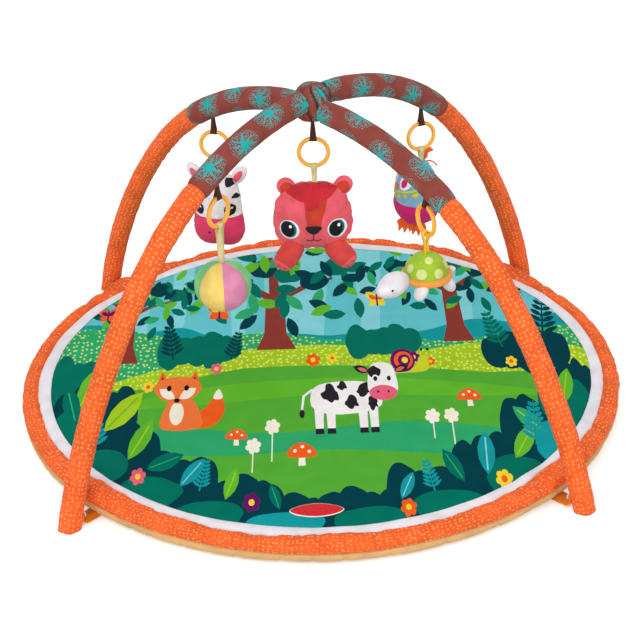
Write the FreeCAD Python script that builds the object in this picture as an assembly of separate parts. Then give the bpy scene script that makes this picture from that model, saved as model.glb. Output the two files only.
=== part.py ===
"""Baby activity play gym: a round padded mat, two crossing padded arches and five hanging toys.

Frame: origin on the floor under the middle of the mat, +Z up, -Y towards the front, millimetres.
"""
import FreeCAD, Part
import os
from math import acos, asin, cos, degrees, radians, sin, tan

V = FreeCAD.Vector
ORIGIN, UP = V(0, 0, 0), V(0, 0, 1)

# ---------------------------------------------------------------- mat
MAT_RADIUS = 425.0          # to the outer seam
SEAM_HEIGHT = 17.0          # outer seam above the floor
MAT_THICKNESS = 32.0        # floor to the top of the printed panel
BORDER_WIDTH = 21.0         # orange puffed border, seen from above
WHITE_WIDTH = 17.0          # white piping ring inside the border
SHEET = 1.4                 # thickness of each mat fabric
UNDERSIDE_INSET = 9.0       # where the underside leaves the floor, inside the outer seam

LABEL_LENGTH, LABEL_WIDTH, LABEL_THICKNESS = 70.0, 30.0, 1.2
LABEL_ASIDE = -13.0         # middle of the label from the middle of the mat
LABEL_INSET = 20.0          # label's outer edge to the edge of the printed panel

# ---------------------------------------------------------------- arches
HEIGHT_A = 448.0            # rod centre line of the upper arch at its apex
CROSSING_STEP = 14.0        # rod centre line of the lower arch under that of the upper one
HEIGHT_B = HEIGHT_A - CROSSING_STEP
FOOT_OUTSIDE = 44.0         # feet stand this far outside the mat's seam
FOOT_RADIUS = MAT_RADIUS + FOOT_OUTSIDE
BEND_TOP = radians(49.2)    # slope of the rod where the tight top bend ends
BEND_FOOT = radians(75.3)   # slope of the rod at the floor
HEADING_A, HEADING_B = radians(45), radians(135)      # azimuth of each arch's rear foot

ROD_RADIUS = 4.5
ROD_LIFT = 4.0              # rod end above the floor
FERRULE_WALL = 2.0
FERRULE_LENGTH = 60.0
FERRULE_PLACE = 110.0       # from the crossing, towards the rear foot
ROD_GAP = 0.5               # between the two rods inside the ferrule

FOAM_RADIUS = 13.4
LEG_WALL = 1.4              # leg cover fabric
MID_WALL = 2.8              # quilted fabric of the middle covers
CAP_TOP = 14.0              # top of the plug in each foot
EASE = 0.2                  # between parts that nest in one arch

SEAM_A_FRONT, SEAM_A_REAR = 214.0, 262.0    # leg cover to middle cover, from the crossing
SEAM_B_FRONT, SEAM_B_REAR = 236.0, 236.0

WRAP_RADIUS = 29.0          # gathered wrap over the crossing
WRAP_ABOVE, WRAP_BELOW = 20.0, 23.0     # past the two rod lines
WRAP_SHOULDER = 9.0
WRAP_GAP = 0.5              # between the two halves, and from the wrap to the covers

# ---------------------------------------------------------------- straps
STRAP_WIDTH, STRAP_THICKNESS = 24.0, 2.0
STRAP_UNDER = 40.0          # length tucked under the mat
STRAP_TAB = 18.0            # height of the tab that stands against the leg
STRAP_GAP = 0.5             # tab to leg cover
SNAP_RADIUS, SNAP_HEIGHT = 5.0, 1.6

# ---------------------------------------------------------------- rings and ribbons
RING_RADIUS, WIRE_RADIUS = 20.0, 3.0
WEBBING_WIDTH, WEBBING = 10.0, 1.2
RIBBON_WIDTH, RIBBON = 9.0, 1.0
WIRE_EASE = 0.95            # bore of a loop or ribbon round a ring's wire
RUN_IN = 8.0                # how far a loop's tip would reach past the face it is sewn to
LOOP_CARRIER = 60.0         # length of cover each side that a loop's top is fitted to

# name: (arch, distance from the crossing, cover to the ring's top wire, azimuth of the ring's plane)
HANGERS = {
    "ball": ("a", -179.0, 23.0, 53.0),
    "bird": ("a", 222.0, 22.5, 20.0),
    "turtle": ("b", -200.0, 15.0, -62.0),
    "zebra": ("b", 198.0, 20.5, -10.0),
    "tiger": ("b", 0.0, 22.0, 0.0),
}

# ---------------------------------------------------------------- toys
BALL_RADIUS, BALL_HEIGHT, BALL_DROP = 38.0, 70.0, 52.0      # drop: ring wire to top of toy
TIGER_DROP, ZEBRA_DROP, BIRD_DROP, TURTLE_DROP = 24.0, 20.0, 18.0, 25.0
# Half sizes of the stuffed pieces: across, front to back, up.
TIGER_WIDTH, TIGER_DEPTH, TIGER_HEIGHT = 52.0, 27.0, 52.5
TIGER_HEAD = V(TIGER_WIDTH, TIGER_DEPTH, TIGER_HEIGHT)
TIGER_EAR, TIGER_EAR_SPREAD = V(12, 7, 13), 37.0
PAW_WIDTH, PAW_DEPTH, PAW_HEIGHT = 18.0, 15.0, 20.0
TIGER_PAW, TIGER_PAW_SPREAD = V(PAW_WIDTH, PAW_DEPTH, PAW_HEIGHT), 32.0
ZEBRA_WIDTH, ZEBRA_DEPTH, ZEBRA_HEIGHT = 34.0, 25.0, 56.0
ZEBRA_HEAD = V(ZEBRA_WIDTH, ZEBRA_DEPTH, ZEBRA_HEIGHT)
MUZZLE_WIDTH, MUZZLE_DEPTH, MUZZLE_HEIGHT = 41.0, 28.0, 35.0
ZEBRA_MUZZLE = V(MUZZLE_WIDTH, MUZZLE_DEPTH, MUZZLE_HEIGHT)
ZEBRA_EAR, ZEBRA_EAR_SPREAD = V(9, 6, 16), 31.0
BIRD_BELLY, BIRD_LENGTH = 37.0, 103.0
BIRD_FOOT, BIRD_FOOT_SPREAD = V(10, 4, 9), 12.0
CREST = V(4, 2.5, 11)
SHELL_RADIUS, SHELL_HEIGHT, RIM_RADIUS = 29.0, 30.0, 5.0
TURTLE_HEADING = 208.0          # azimuth that the turtle swims towards
TURTLE_HEAD = V(23, 17, 16)
LIMB_WIDTH, LIMB_DEPTH, LIMB_HEIGHT = 11.0, 8.0, 13.0
TURTLE_LEG = V(LIMB_WIDTH, LIMB_DEPTH, LIMB_HEIGHT)
LINK_WIDTH, LINK_WALL = 6.0, 2.0

LEG_AZIMUTHS = [degrees(heading) + side for heading in (HEADING_A, HEADING_B) for side in (0, 180)]
PAST_FLOOR = radians(6)         # how far each rod line is drawn on past the floor, before it is cut off there
SPAN = 2000.0                   # larger than the whole gym


# ================================================================ helpers
def turn(shape, azimuth):
    """Turn a shape about the Z axis through the origin."""
    turned = shape.copy()
    turned.rotate(ORIGIN, UP, azimuth)
    return turned


def shift(shape, by):
    moved = shape.copy()
    moved.translate(by)
    return moved


def above(z):
    """Everything over height z."""
    return Part.makeBox(SPAN, SPAN, SPAN, V(-SPAN / 2, -SPAN / 2, z))


def join(solids):
    whole = solids[0]
    for solid in solids[1:]:
        whole = whole.fuse(solid)
    return whole


def less(solid, *others):
    """A solid less others, as the one solid that is left."""
    for other in others:
        solid = solid.cut(other)
    return max(solid.Solids, key=lambda piece: piece.Volume)


def lathe(points):
    """Solid of revolution about Z of a closed outline of (radius, height) points."""
    corners = [V(r, 0, z) for r, z in points]
    outline = Part.makePolygon(corners + corners[:1])
    return Part.Face(outline).revolve(ORIGIN, UP, 360)


def ellipsoid(half, at=ORIGIN):
    """Ellipsoid with the half sizes given by a vector."""
    matrix = FreeCAD.Matrix()
    matrix.scale(half)
    return shift(Part.makeSphere(1).transformGeometry(matrix), at)


def leaning(half, at, lean):
    """Ellipsoid that leans about the Y axis."""
    shape = ellipsoid(half)
    shape.rotate(ORIGIN, V(0, 1, 0), lean)
    return shift(shape, at)


def save(name, *solids):
    shape = solids[0] if len(solids) == 1 else Part.makeCompound(list(solids))
    if not shape.isValid():
        raise ValueError(name + " is not a valid shape")
    shape.exportStep("parts/%s.step" % name)


# ================================================================ arches
class Arch:
    """Rod line in an upright plane: a tight top bend and a wider bend down each leg.

    The plane's own x runs from the crossing towards the rear foot.
    """

    def __init__(self, height, heading):
        top_run, top_drop = sin(BEND_TOP), 1 - cos(BEND_TOP)
        leg_run, leg_drop = sin(BEND_FOOT) - top_run, cos(BEND_TOP) - cos(BEND_FOOT)
        scale = top_run * leg_drop - leg_run * top_drop
        self.height = height
        self.heading = heading
        self.top_radius = (FOOT_RADIUS * leg_drop - height * leg_run) / scale
        self.leg_radius = (height * top_run - FOOT_RADIUS * top_drop) / scale

    def centre(self, side):
        """Centre of the leg bend on one side, or of the top bend for side 0."""
        shorter = self.top_radius - self.leg_radius
        if side == 0:
            return V(0, 0, self.height - self.top_radius)
        return V(side * shorter * sin(BEND_TOP), 0,
                 self.height - self.top_radius + shorter * cos(BEND_TOP))

    def slope(self, x):
        """Slope angle of the rod line at plane distance x, positive towards the rear."""
        if abs(x) <= self.top_radius * sin(BEND_TOP):
            return asin(x / self.top_radius)
        side = 1 if x > 0 else -1
        return asin((x - self.centre(side).x) / self.leg_radius)

    def line(self, x):
        """Height of the rod line at plane distance x."""
        angle = self.slope(x)
        if abs(angle) <= BEND_TOP:
            return self.height - self.top_radius * (1 - cos(angle))
        side = 1 if x > 0 else -1
        return self.centre(side).z + self.leg_radius * cos(angle)

    def bend(self, side, start, end, outer, inner):
        """One bent length of tube, between two slopes of the same bend."""
        radius = self.top_radius if side == 0 else self.leg_radius
        centre = self.centre(side)
        at = centre + V(radius * sin(start), 0, radius * cos(start))
        along = V(cos(start), 0, -sin(start))
        face = Part.Face(Part.Wire(Part.Circle(at, along, outer).toShape()))
        bar = face.revolve(centre, V(0, 1, 0), degrees(end - start))
        if inner <= 0:
            return bar
        bore = Part.Face(Part.Wire(Part.Circle(at, along, inner).toShape()))
        return bar.cut(bore.revolve(centre, V(0, 1, 0), degrees(end - start)))

    def tube(self, start, end, outer, inner=0.0):
        """Tube or bar along the rod line, between two slopes, turned to the arch's heading."""
        bends = ((-1, -radians(89), -BEND_TOP), (0, -BEND_TOP, BEND_TOP), (1, BEND_TOP, radians(89)))
        lengths = []
        for side, low, high in bends:
            first, last = max(start, low), min(end, high)
            if last - first > 1e-6:
                lengths.append(self.bend(side, first, last, outer, inner))
        return turn(join(lengths), degrees(self.heading))

    def half(self, side, seam):
        """Slope range of a leg, from its seam down past the floor."""
        past_floor = BEND_FOOT + PAST_FLOOR
        at_seam = self.slope(side * seam)
        return (-past_floor, at_seam) if side < 0 else (at_seam, past_floor)

    def middle(self, side, seam):
        """Slope range from the crossing to a seam."""
        at_seam = self.slope(side * seam)
        return (at_seam, 0) if side < 0 else (0, at_seam)


ARCH_A = Arch(HEIGHT_A, HEADING_A)
ARCH_B = Arch(HEIGHT_B, HEADING_B)
ARCHES = {"a": ARCH_A, "b": ARCH_B}

CROSSING_LEVEL = (HEIGHT_A + HEIGHT_B) / 2
COVER_RADIUS = FOAM_RADIUS + EASE + MID_WALL
COVER_START = WRAP_RADIUS + WRAP_GAP
crossing_room = Part.makeCylinder(COVER_START, SPAN, V(0, 0, 0))


def make_rods(name, arch):
    joint = arch.slope(FERRULE_PLACE)
    step = ROD_GAP / 2 / arch.top_radius
    past_floor = BEND_FOOT + PAST_FLOOR
    room = above(ROD_LIFT)
    front = arch.tube(-past_floor, joint - step, ROD_RADIUS).common(room)
    rear = arch.tube(joint + step, past_floor, ROD_RADIUS).common(room)
    reach = FERRULE_LENGTH / 2 / arch.top_radius
    bore = ROD_RADIUS + EASE / 2
    ferrule = arch.tube(joint - reach, joint + reach, bore + FERRULE_WALL, bore)
    save(name + "_rod_front", front)
    save(name + "_rod_rear", rear)
    save(name + "_ferrule", ferrule)


def make_end_caps(name, arch):
    """Plug in the foot of each leg, with a blind bore for the rod."""
    caps = []
    floor = LEG_WALL + EASE
    for side in (-1, 1):
        start, end = arch.half(side, FOOT_RADIUS * 0.9)
        plug = arch.tube(start, end, FOAM_RADIUS).common(above(floor)).cut(above(CAP_TOP))
        bore = arch.tube(start, end, ROD_RADIUS + EASE / 2).common(above(ROD_LIFT - EASE / 2))
        caps.append(plug.cut(bore))
    save(name + "_end_caps", *caps)


def make_foam(name, arch):
    joint = arch.slope(FERRULE_PLACE)
    reach = (FERRULE_LENGTH / 2 + EASE) / arch.top_radius
    pocket = arch.tube(joint - reach, joint + reach, ROD_RADIUS + FERRULE_WALL + 2 * EASE)
    past_floor = BEND_FOOT + PAST_FLOOR
    room = above(CAP_TOP + EASE)
    for place, start, end in (("front", -past_floor, 0), ("rear", 0, past_floor)):
        foam = arch.tube(start, end, FOAM_RADIUS, ROD_RADIUS + EASE).common(room)
        save("%s_foam_%s" % (name, place), foam.cut(pocket).cut(crossing_room))


def make_leg_cover(name, arch, side, seam):
    start, end = arch.half(side, seam)
    inside = FOAM_RADIUS + EASE
    outer = arch.tube(start, end, inside + LEG_WALL).common(above(0))
    hollow = arch.tube(start, end, inside).common(above(LEG_WALL))
    save(name, outer.cut(hollow))


def make_mid_cover(name, arch, side, seam):
    start, end = arch.middle(side, seam)
    inside = FOAM_RADIUS + EASE
    cover = arch.tube(start, end, inside + MID_WALL, inside)
    save(name, cover.cut(crossing_room))


def make_wraps():
    """The gathered wrap is in two halves that turn on each other, one on each rod."""
    low, high = CROSSING_LEVEL - WRAP_GAP / 2, CROSSING_LEVEL + WRAP_GAP / 2
    top, bottom = HEIGHT_A + WRAP_ABOVE, HEIGHT_B - WRAP_BELOW
    waist = WRAP_RADIUS - WRAP_SHOULDER
    upper = lathe([(0, high), (WRAP_RADIUS, high), (WRAP_RADIUS, top - WRAP_SHOULDER), (waist, top), (0, top)])
    lower = lathe([(0, low), (0, bottom), (waist, bottom), (WRAP_RADIUS, bottom + WRAP_SHOULDER),
                   (WRAP_RADIUS, low)])
    reach = radians(10)
    upper = upper.cut(ARCH_A.tube(-reach, reach, ROD_RADIUS + EASE))
    lower = lower.cut(ARCH_B.tube(-reach, reach, ROD_RADIUS + EASE))
    save("crossing_wrap_upper", upper)
    save("crossing_wrap_lower", lower)
    return lower


# ================================================================ rings, loops and ribbons
def cover_face(name):
    """Height of the underside that a loop is sewn to."""
    arch, distance = ARCHES[HANGERS[name][0]], HANGERS[name][1]
    if distance == 0:
        return HEIGHT_B - WRAP_BELOW
    return arch.line(distance) - COVER_RADIUS / cos(arch.slope(distance))


def hang_point(name):
    """Place of a ring's centre."""
    arch, distance, drop, azimuth = HANGERS[name]
    heading = ARCHES[arch].heading
    return V(distance * cos(heading), distance * sin(heading), cover_face(name) - drop - RING_RADIUS)


def eyelet(length, width, wall):
    """Strip of webbing round a level wire along X at the origin, with its tip up at the length given."""
    def teardrop(radius, tip):
        lean = acos(radius / tip)
        side = V(0, radius * sin(lean), radius * cos(lean))
        other = V(0, -side.y, side.z)
        round_end = Part.Arc(side, V(0, 0, -radius), other).toShape()
        edges = [round_end, Part.makeLine(other, V(0, 0, tip)), Part.makeLine(V(0, 0, tip), side)]
        return Part.Face(Part.Wire(edges)).extrude(V(width, 0, 0))
    inner = WIRE_RADIUS + WIRE_EASE
    outer = inner + wall
    strip = teardrop(outer, length).cut(teardrop(inner, length * inner / outer))
    return shift(strip, V(-width / 2, 0, 0))


def make_loop(name, carrier):
    """Webbing loop sewn to the underside of a cover, round the top of a ring."""
    drop, azimuth = HANGERS[name][2:]
    wire = hang_point(name) + V(0, 0, RING_RADIUS)
    loop = turn(eyelet(drop + RUN_IN, WEBBING_WIDTH, WEBBING), azimuth)
    save("loop_" + name, less(shift(loop, wire), carrier))


def make_ring(name):
    centre = hang_point(name)
    azimuth = radians(HANGERS[name][3])
    axis = V(-sin(azimuth), cos(azimuth), 0)
    save("ring_" + name, Part.makeTorus(RING_RADIUS, WIRE_RADIUS, centre, axis))


def hung_ribbon(name, drop, body, width=RIBBON_WIDTH, wall=RIBBON):
    """Ribbon from a ring's lowest point down to the toy sewn on it."""
    azimuth = HANGERS[name][3]
    wire = hang_point(name) - V(0, 0, RING_RADIUS)
    strip = eyelet(drop + RUN_IN, width, wall)
    strip.rotate(ORIGIN, V(1, 0, 0), 180)
    return less(shift(turn(strip, azimuth), wire), body)


def plumb(name, solids):
    """Move a toy's solids sideways so that their common weight hangs under the ring."""
    volume = sum(solid.Volume for solid in solids)
    lean_x = sum(solid.CenterOfMass.x * solid.Volume for solid in solids) / volume
    lean_y = sum(solid.CenterOfMass.y * solid.Volume for solid in solids) / volume
    centre = hang_point(name)
    return [shift(solid, V(centre.x - lean_x, centre.y - lean_y, 0)) for solid in solids]


def toy_top(name, drop):
    """Height of the point where the toy is sewn to its ribbon."""
    return hang_point(name).z - RING_RADIUS - drop


def make_ball():
    top = toy_top("ball", BALL_DROP)
    half = BALL_HEIGHT / 2
    ball, = plumb("ball", [ellipsoid(V(BALL_RADIUS, BALL_RADIUS, half), V(0, 0, top - half))])
    save("ball_ribbon", hung_ribbon("ball", BALL_DROP, ball))
    save("ball_body", ball)


def make_tiger():
    top = toy_top("tiger", TIGER_DROP)
    head_at = V(0, 0, top - TIGER_HEAD.z)
    head = ellipsoid(TIGER_HEAD, head_at)
    ears = []
    paws = []
    for side in (-1, 1):
        ear_at = head_at + V(side * TIGER_EAR_SPREAD, 0, TIGER_HEAD.z * 0.8)
        ears.append(less(leaning(TIGER_EAR, ear_at, side * 35), head))
        paw_at = head_at + V(side * TIGER_PAW_SPREAD, -TIGER_HEAD.y * 0.45, -TIGER_HEAD.z - TIGER_PAW.z * 0.4)
        paws.append(less(leaning(TIGER_PAW, paw_at, side * 25), head))
    head, ear_l, ear_r, paw_l, paw_r = plumb("tiger", [head] + ears + paws)
    save("tiger_ribbon", hung_ribbon("tiger", TIGER_DROP, head))
    save("tiger_head", head)
    save("tiger_ears", ear_l, ear_r)
    save("tiger_paws", paw_l, paw_r)


def make_zebra():
    top = toy_top("zebra", ZEBRA_DROP)
    head_at = V(0, 0, top - ZEBRA_HEAD.z)
    muzzle = ellipsoid(ZEBRA_MUZZLE, V(0, 0, top - 2 * ZEBRA_HEAD.z + ZEBRA_MUZZLE.z * 0.8))
    head = ellipsoid(ZEBRA_HEAD, head_at)
    brow = Part.makeBox(SPAN, SPAN, SPAN, V(-SPAN / 2, -SPAN / 2, head_at.z - ZEBRA_HEAD.z * 0.25))
    head = less(head.common(brow), muzzle)
    ears = []
    for side in (-1, 1):
        ear_at = head_at + V(side * ZEBRA_EAR_SPREAD, 0, ZEBRA_HEAD.z * 0.93)
        ears.append(less(leaning(ZEBRA_EAR, ear_at, side * 40), head))
    head, muzzle, ear_l, ear_r = plumb("zebra", [head, muzzle] + ears)
    save("zebra_ribbon", hung_ribbon("zebra", ZEBRA_DROP, head))
    save("zebra_head", head)
    save("zebra_muzzle", muzzle)
    save("zebra_ears", ear_l, ear_r)


def make_bird():
    """Egg-shaped body on two felt feet, with a felt crest behind the ribbon."""
    top = toy_top("bird", BIRD_DROP)
    waist = top - BIRD_LENGTH + BIRD_BELLY
    depth = BIRD_BELLY * 0.72
    upper = ellipsoid(V(BIRD_BELLY, depth, BIRD_LENGTH - BIRD_BELLY), V(0, 0, waist))
    lower = ellipsoid(V(BIRD_BELLY, depth, BIRD_BELLY), V(0, 0, waist))
    body = less(join([upper.common(above(waist)), lower.cut(above(waist))]))
    feet = []
    for side in (-1, 1):
        foot_at = V(side * BIRD_FOOT_SPREAD, -BIRD_BELLY * 0.3, top - BIRD_LENGTH - BIRD_FOOT.z * 0.3)
        feet.append(less(leaning(BIRD_FOOT, foot_at, side * -12), body))
    crest = leaning(CREST, V(CREST.z * 0.8, BIRD_BELLY * 0.2, top + CREST.z * 0.3), 40)
    crest = less(crest, body)
    body, foot_l, foot_r, crest = plumb("bird", [body] + feet + [crest])
    save("bird_ribbon", less(hung_ribbon("bird", BIRD_DROP, body), crest))
    save("bird_body", body)
    save("bird_feet", foot_l, foot_r)
    save("bird_crest", crest)


def make_turtle():
    """Domed shell with a rolled rim, a head in front, four legs and a tail."""
    top = toy_top("turtle", TURTLE_DROP)
    rim_level = top - SHELL_HEIGHT
    dome = ellipsoid(V(SHELL_RADIUS, SHELL_RADIUS, SHELL_HEIGHT), V(0, 0, rim_level))
    belly = ellipsoid(V(SHELL_RADIUS, SHELL_RADIUS, SHELL_HEIGHT * 0.45), V(0, 0, rim_level))
    shell = less(join([dome.common(above(rim_level)), belly.cut(above(rim_level))]))
    rim = less(Part.makeTorus(SHELL_RADIUS, RIM_RADIUS, V(0, 0, rim_level), UP), shell)
    carried = shell.fuse(rim)
    head = less(leaning(TURTLE_HEAD, V(SHELL_RADIUS + TURTLE_HEAD.x * 0.7, 0, rim_level), 12), carried)
    limbs = []
    for along, across in ((0.72, 0.72), (0.72, -0.72), (-0.72, 0.72), (-0.72, -0.72)):
        limb_at = V(along * SHELL_RADIUS, across * SHELL_RADIUS, rim_level - RIM_RADIUS - TURTLE_LEG.z * 0.4)
        limbs.append(less(leaning(TURTLE_LEG, limb_at, -35 if along > 0 else 35), carried, head))
    solids = [turn(solid, TURTLE_HEADING) for solid in [shell, rim, head] + limbs]
    shell, rim, head, *limbs = plumb("turtle", solids)
    save("turtle_link", hung_ribbon("turtle", TURTLE_DROP, shell, LINK_WIDTH, LINK_WALL))
    save("turtle_shell", shell)
    save("turtle_rim", rim)
    save("turtle_head", head)
    save("turtle_legs", *limbs)


# ================================================================ mat
PRINT_RADIUS = MAT_RADIUS - BORDER_WIDTH - WHITE_WIDTH
WHITE_RADIUS = MAT_RADIUS - BORDER_WIDTH
FLAT_RADIUS = MAT_RADIUS - UNDERSIDE_INSET
LEG_RADIUS = FOAM_RADIUS + EASE + LEG_WALL
TAB_RADIUS = FOOT_RADIUS - LEG_RADIUS / sin(BEND_FOOT) - STRAP_TAB / tan(BEND_FOOT) - STRAP_GAP


def rim_outline(inset):
    """Half section of the puffed edge, an inset in from the outside: points from the seam to the top."""
    points = []
    steps = 8
    for i in range(steps + 1):
        angle = radians(90) * i / steps
        r = WHITE_RADIUS + (BORDER_WIDTH - inset) * cos(angle)
        z = SEAM_HEIGHT + (MAT_THICKNESS - inset - SEAM_HEIGHT) * sin(angle)
        points.append((r, z))
    return points


def underside_outline(inset):
    """Half section of the underside's curve up to the seam, an inset in from the outside."""
    points = []
    steps = 6
    for i in range(steps + 1):
        angle = radians(90) * (1 - i / steps)
        r = FLAT_RADIUS + (UNDERSIDE_INSET - inset) * cos(angle)
        z = SEAM_HEIGHT - (SEAM_HEIGHT - inset) * sin(angle)
        points.append((r, z))
    return points


def strap_recesses(slack):
    """Flat pockets under the mat's edge for the four leg straps."""
    width = STRAP_WIDTH + 2 * slack
    start = MAT_RADIUS - UNDERSIDE_INSET - STRAP_UNDER - slack
    pocket = Part.makeBox(SPAN / 2, width, STRAP_THICKNESS + slack, V(start, -width / 2, 0))
    return [turn(pocket, azimuth) for azimuth in LEG_AZIMUTHS]


def make_mat():
    inner_top = MAT_THICKNESS - SHEET
    pockets = Part.makeCompound(strap_recesses(EASE))
    underside = lathe([(0, 0)] + underside_outline(0) + underside_outline(SHEET)[::-1] + [(0, SHEET)])
    save("mat_underside", underside.cut(pockets))
    filling = lathe([(0, SHEET)] + underside_outline(SHEET) + rim_outline(SHEET)[1:] + [(0, inner_top)])
    save("mat_padding", filling.cut(pockets))
    save("mat_border", lathe(rim_outline(0) + rim_outline(SHEET)[::-1]))
    panel = Part.makeCylinder(PRINT_RADIUS, SHEET, V(0, 0, inner_top))
    ring = Part.makeCylinder(WHITE_RADIUS, SHEET, V(0, 0, inner_top)).cut(panel)
    save("mat_print_panel", panel)
    save("mat_white_ring", ring)
    half = LABEL_WIDTH / 2
    label = Part.makeBox(LABEL_LENGTH, LABEL_WIDTH, LABEL_THICKNESS,
                         V(LABEL_ASIDE - LABEL_LENGTH / 2, -PRINT_RADIUS + LABEL_INSET, MAT_THICKNESS))
    upright = [edge for edge in label.Edges if abs(edge.tangentAt(edge.FirstParameter).z) > 0.9]
    save("mat_label", label.makeFillet(half * 0.9, upright))


def make_straps():
    start = MAT_RADIUS - UNDERSIDE_INSET - STRAP_UNDER
    length = TAB_RADIUS - start
    flat = Part.makeBox(length, STRAP_WIDTH, STRAP_THICKNESS, V(start, -STRAP_WIDTH / 2, 0))
    tab = Part.makeBox(STRAP_THICKNESS, STRAP_WIDTH, STRAP_TAB, V(TAB_RADIUS - STRAP_THICKNESS, -STRAP_WIDTH / 2, 0))
    strap = flat.fuse(tab).removeSplitter()
    snap = Part.makeCylinder(SNAP_RADIUS, SNAP_HEIGHT, V(TAB_RADIUS - STRAP_THICKNESS, 0, STRAP_TAB / 2 + 1), V(-1, 0, 0))
    save("leg_straps", *[turn(strap, azimuth) for azimuth in LEG_AZIMUTHS])
    save("strap_snaps", *[turn(snap, azimuth) for azimuth in LEG_AZIMUTHS])


# ================================================================ build
os.makedirs("parts", exist_ok=True)
make_mat()
make_straps()
for label, arch, seam_front, seam_rear in (("arch_a", ARCH_A, SEAM_A_FRONT, SEAM_A_REAR),
                                           ("arch_b", ARCH_B, SEAM_B_FRONT, SEAM_B_REAR)):
    make_rods(label, arch)
    make_end_caps(label, arch)
    make_foam(label, arch)
    for place, side, seam in (("front", -1, seam_front), ("rear", 1, seam_rear)):
        make_leg_cover("%s_leg_cover_%s" % (label, place), arch, side, seam)
        make_mid_cover("%s_mid_cover_%s" % (label, place), arch, side, seam)
lower_wrap = make_wraps()

for name, (arch_name, distance, drop, azimuth) in HANGERS.items():
    arch = ARCHES[arch_name]
    carrier = lower_wrap
    if distance:
        reach = LOOP_CARRIER / arch.top_radius
        carrier = arch.tube(arch.slope(distance) - reach, arch.slope(distance) + reach, COVER_RADIUS)
    make_loop(name, carrier)
    make_ring(name)
make_ball()
make_tiger()
make_zebra()
make_bird()
make_turtle()
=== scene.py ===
from math import asin, atan2, copysign, cos, exp, hypot, pi, radians, sin, sqrt

import bmesh
import bpy
import numpy as np
from mathutils import Matrix, Vector, noise
from mathutils.bvhtree import BVHTree
from mathutils.geometry import delaunay_2d_cdt


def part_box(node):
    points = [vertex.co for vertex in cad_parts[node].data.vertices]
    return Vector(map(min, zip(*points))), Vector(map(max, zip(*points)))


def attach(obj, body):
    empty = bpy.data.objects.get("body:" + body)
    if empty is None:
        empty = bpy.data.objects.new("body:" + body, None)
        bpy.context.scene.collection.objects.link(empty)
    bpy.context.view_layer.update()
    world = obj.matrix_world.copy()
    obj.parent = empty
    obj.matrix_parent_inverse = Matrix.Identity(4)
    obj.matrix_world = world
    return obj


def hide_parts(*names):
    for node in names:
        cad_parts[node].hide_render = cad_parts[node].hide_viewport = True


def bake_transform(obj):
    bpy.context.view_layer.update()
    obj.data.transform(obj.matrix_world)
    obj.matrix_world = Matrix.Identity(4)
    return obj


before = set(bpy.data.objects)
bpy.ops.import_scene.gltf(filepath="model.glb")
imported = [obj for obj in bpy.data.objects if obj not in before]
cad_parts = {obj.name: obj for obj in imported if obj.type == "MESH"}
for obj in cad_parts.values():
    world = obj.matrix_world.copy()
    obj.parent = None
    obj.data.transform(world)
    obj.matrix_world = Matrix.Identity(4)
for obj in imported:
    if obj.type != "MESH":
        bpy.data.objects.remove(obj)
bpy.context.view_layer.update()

MM = 0.001
UP = Vector((0, 0, 1))
scene = bpy.context.scene


# ==================================================================== colours
COLOURS = {
    "dotted orange": "#EE6226", "orange dot": "#FAA26C",
    # fold is the colour of the painted shade in the gathered wrap's fold valleys.
    "bark brown": "#8C433A", "fold": "#2A1512", "leaf teal": "#17A9A9", "tan": "#DCB177", "piping": "#ECEAF0",
    "strap": "#F98A1C", "ring": "#F9B02A", "ribbon": "#F0E3A4", "loop": "#4F2713",
    "coral": "#EE6270", "terracotta": "#CC4230", "tuft": "#CF2F3A", "nose": "#231F26", "eye white": "#F1F3F6",
    "eye": "#17161C", "muzzle": "#E6406B", "zebra": "#EBE8EE", "ball yellow": "#F3D675",
    "ball pink": "#DF8CB0",
    "ball green": "#7FCB82", "ball pale": "#CFE3E0", "shell": "#A0C436", "shell dot": "#D5E391",
    "rim": "#F5A04C", "turtle": "#E6E3E9", "bird blue": "#86B4D6", "bird pink": "#D92579",
    "necklace": "#D2D33A", "bird foot": "#EE6420", "link": "#F7C322", "label": "#E01C2A",
    "sky": "#84D4DB", "mist": "#63C6CE", "lagoon": "#13999F", "far green": "#2FA86B", "lime": "#A6CC24",
    "meadow": "#54AC36", "bush": "#013D47", "deep green": "#02705E", "leaf green": "#62B92F",
    "bark": "#8B3A31",
    "plum": "#6A1268", "poppy": "#F0601F", "rose": "#E8627C", "cream": "#F4EFDC", "lemon": "#F3D634",
    "grass dot": "#B9DF84", "lime dot": "#DCEB6A", "cow white": "#F2F0EF", "cow black": "#26242B",
    "paw": "#DC4A45", "iris": "#1F6F86", "fox": "#F27A3C", "snail": "#C9D52B",
}


def linear(name):
    """Linear colour of a named sRGB colour."""
    code = COLOURS[name]
    parts = [int(code[i:i + 2], 16) / 255 for i in (1, 3, 5)]
    return tuple(c / 12.92 if c <= 0.04045 else ((c + 0.055) / 1.055) ** 2.4 for c in parts) + (1.0,)


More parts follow.
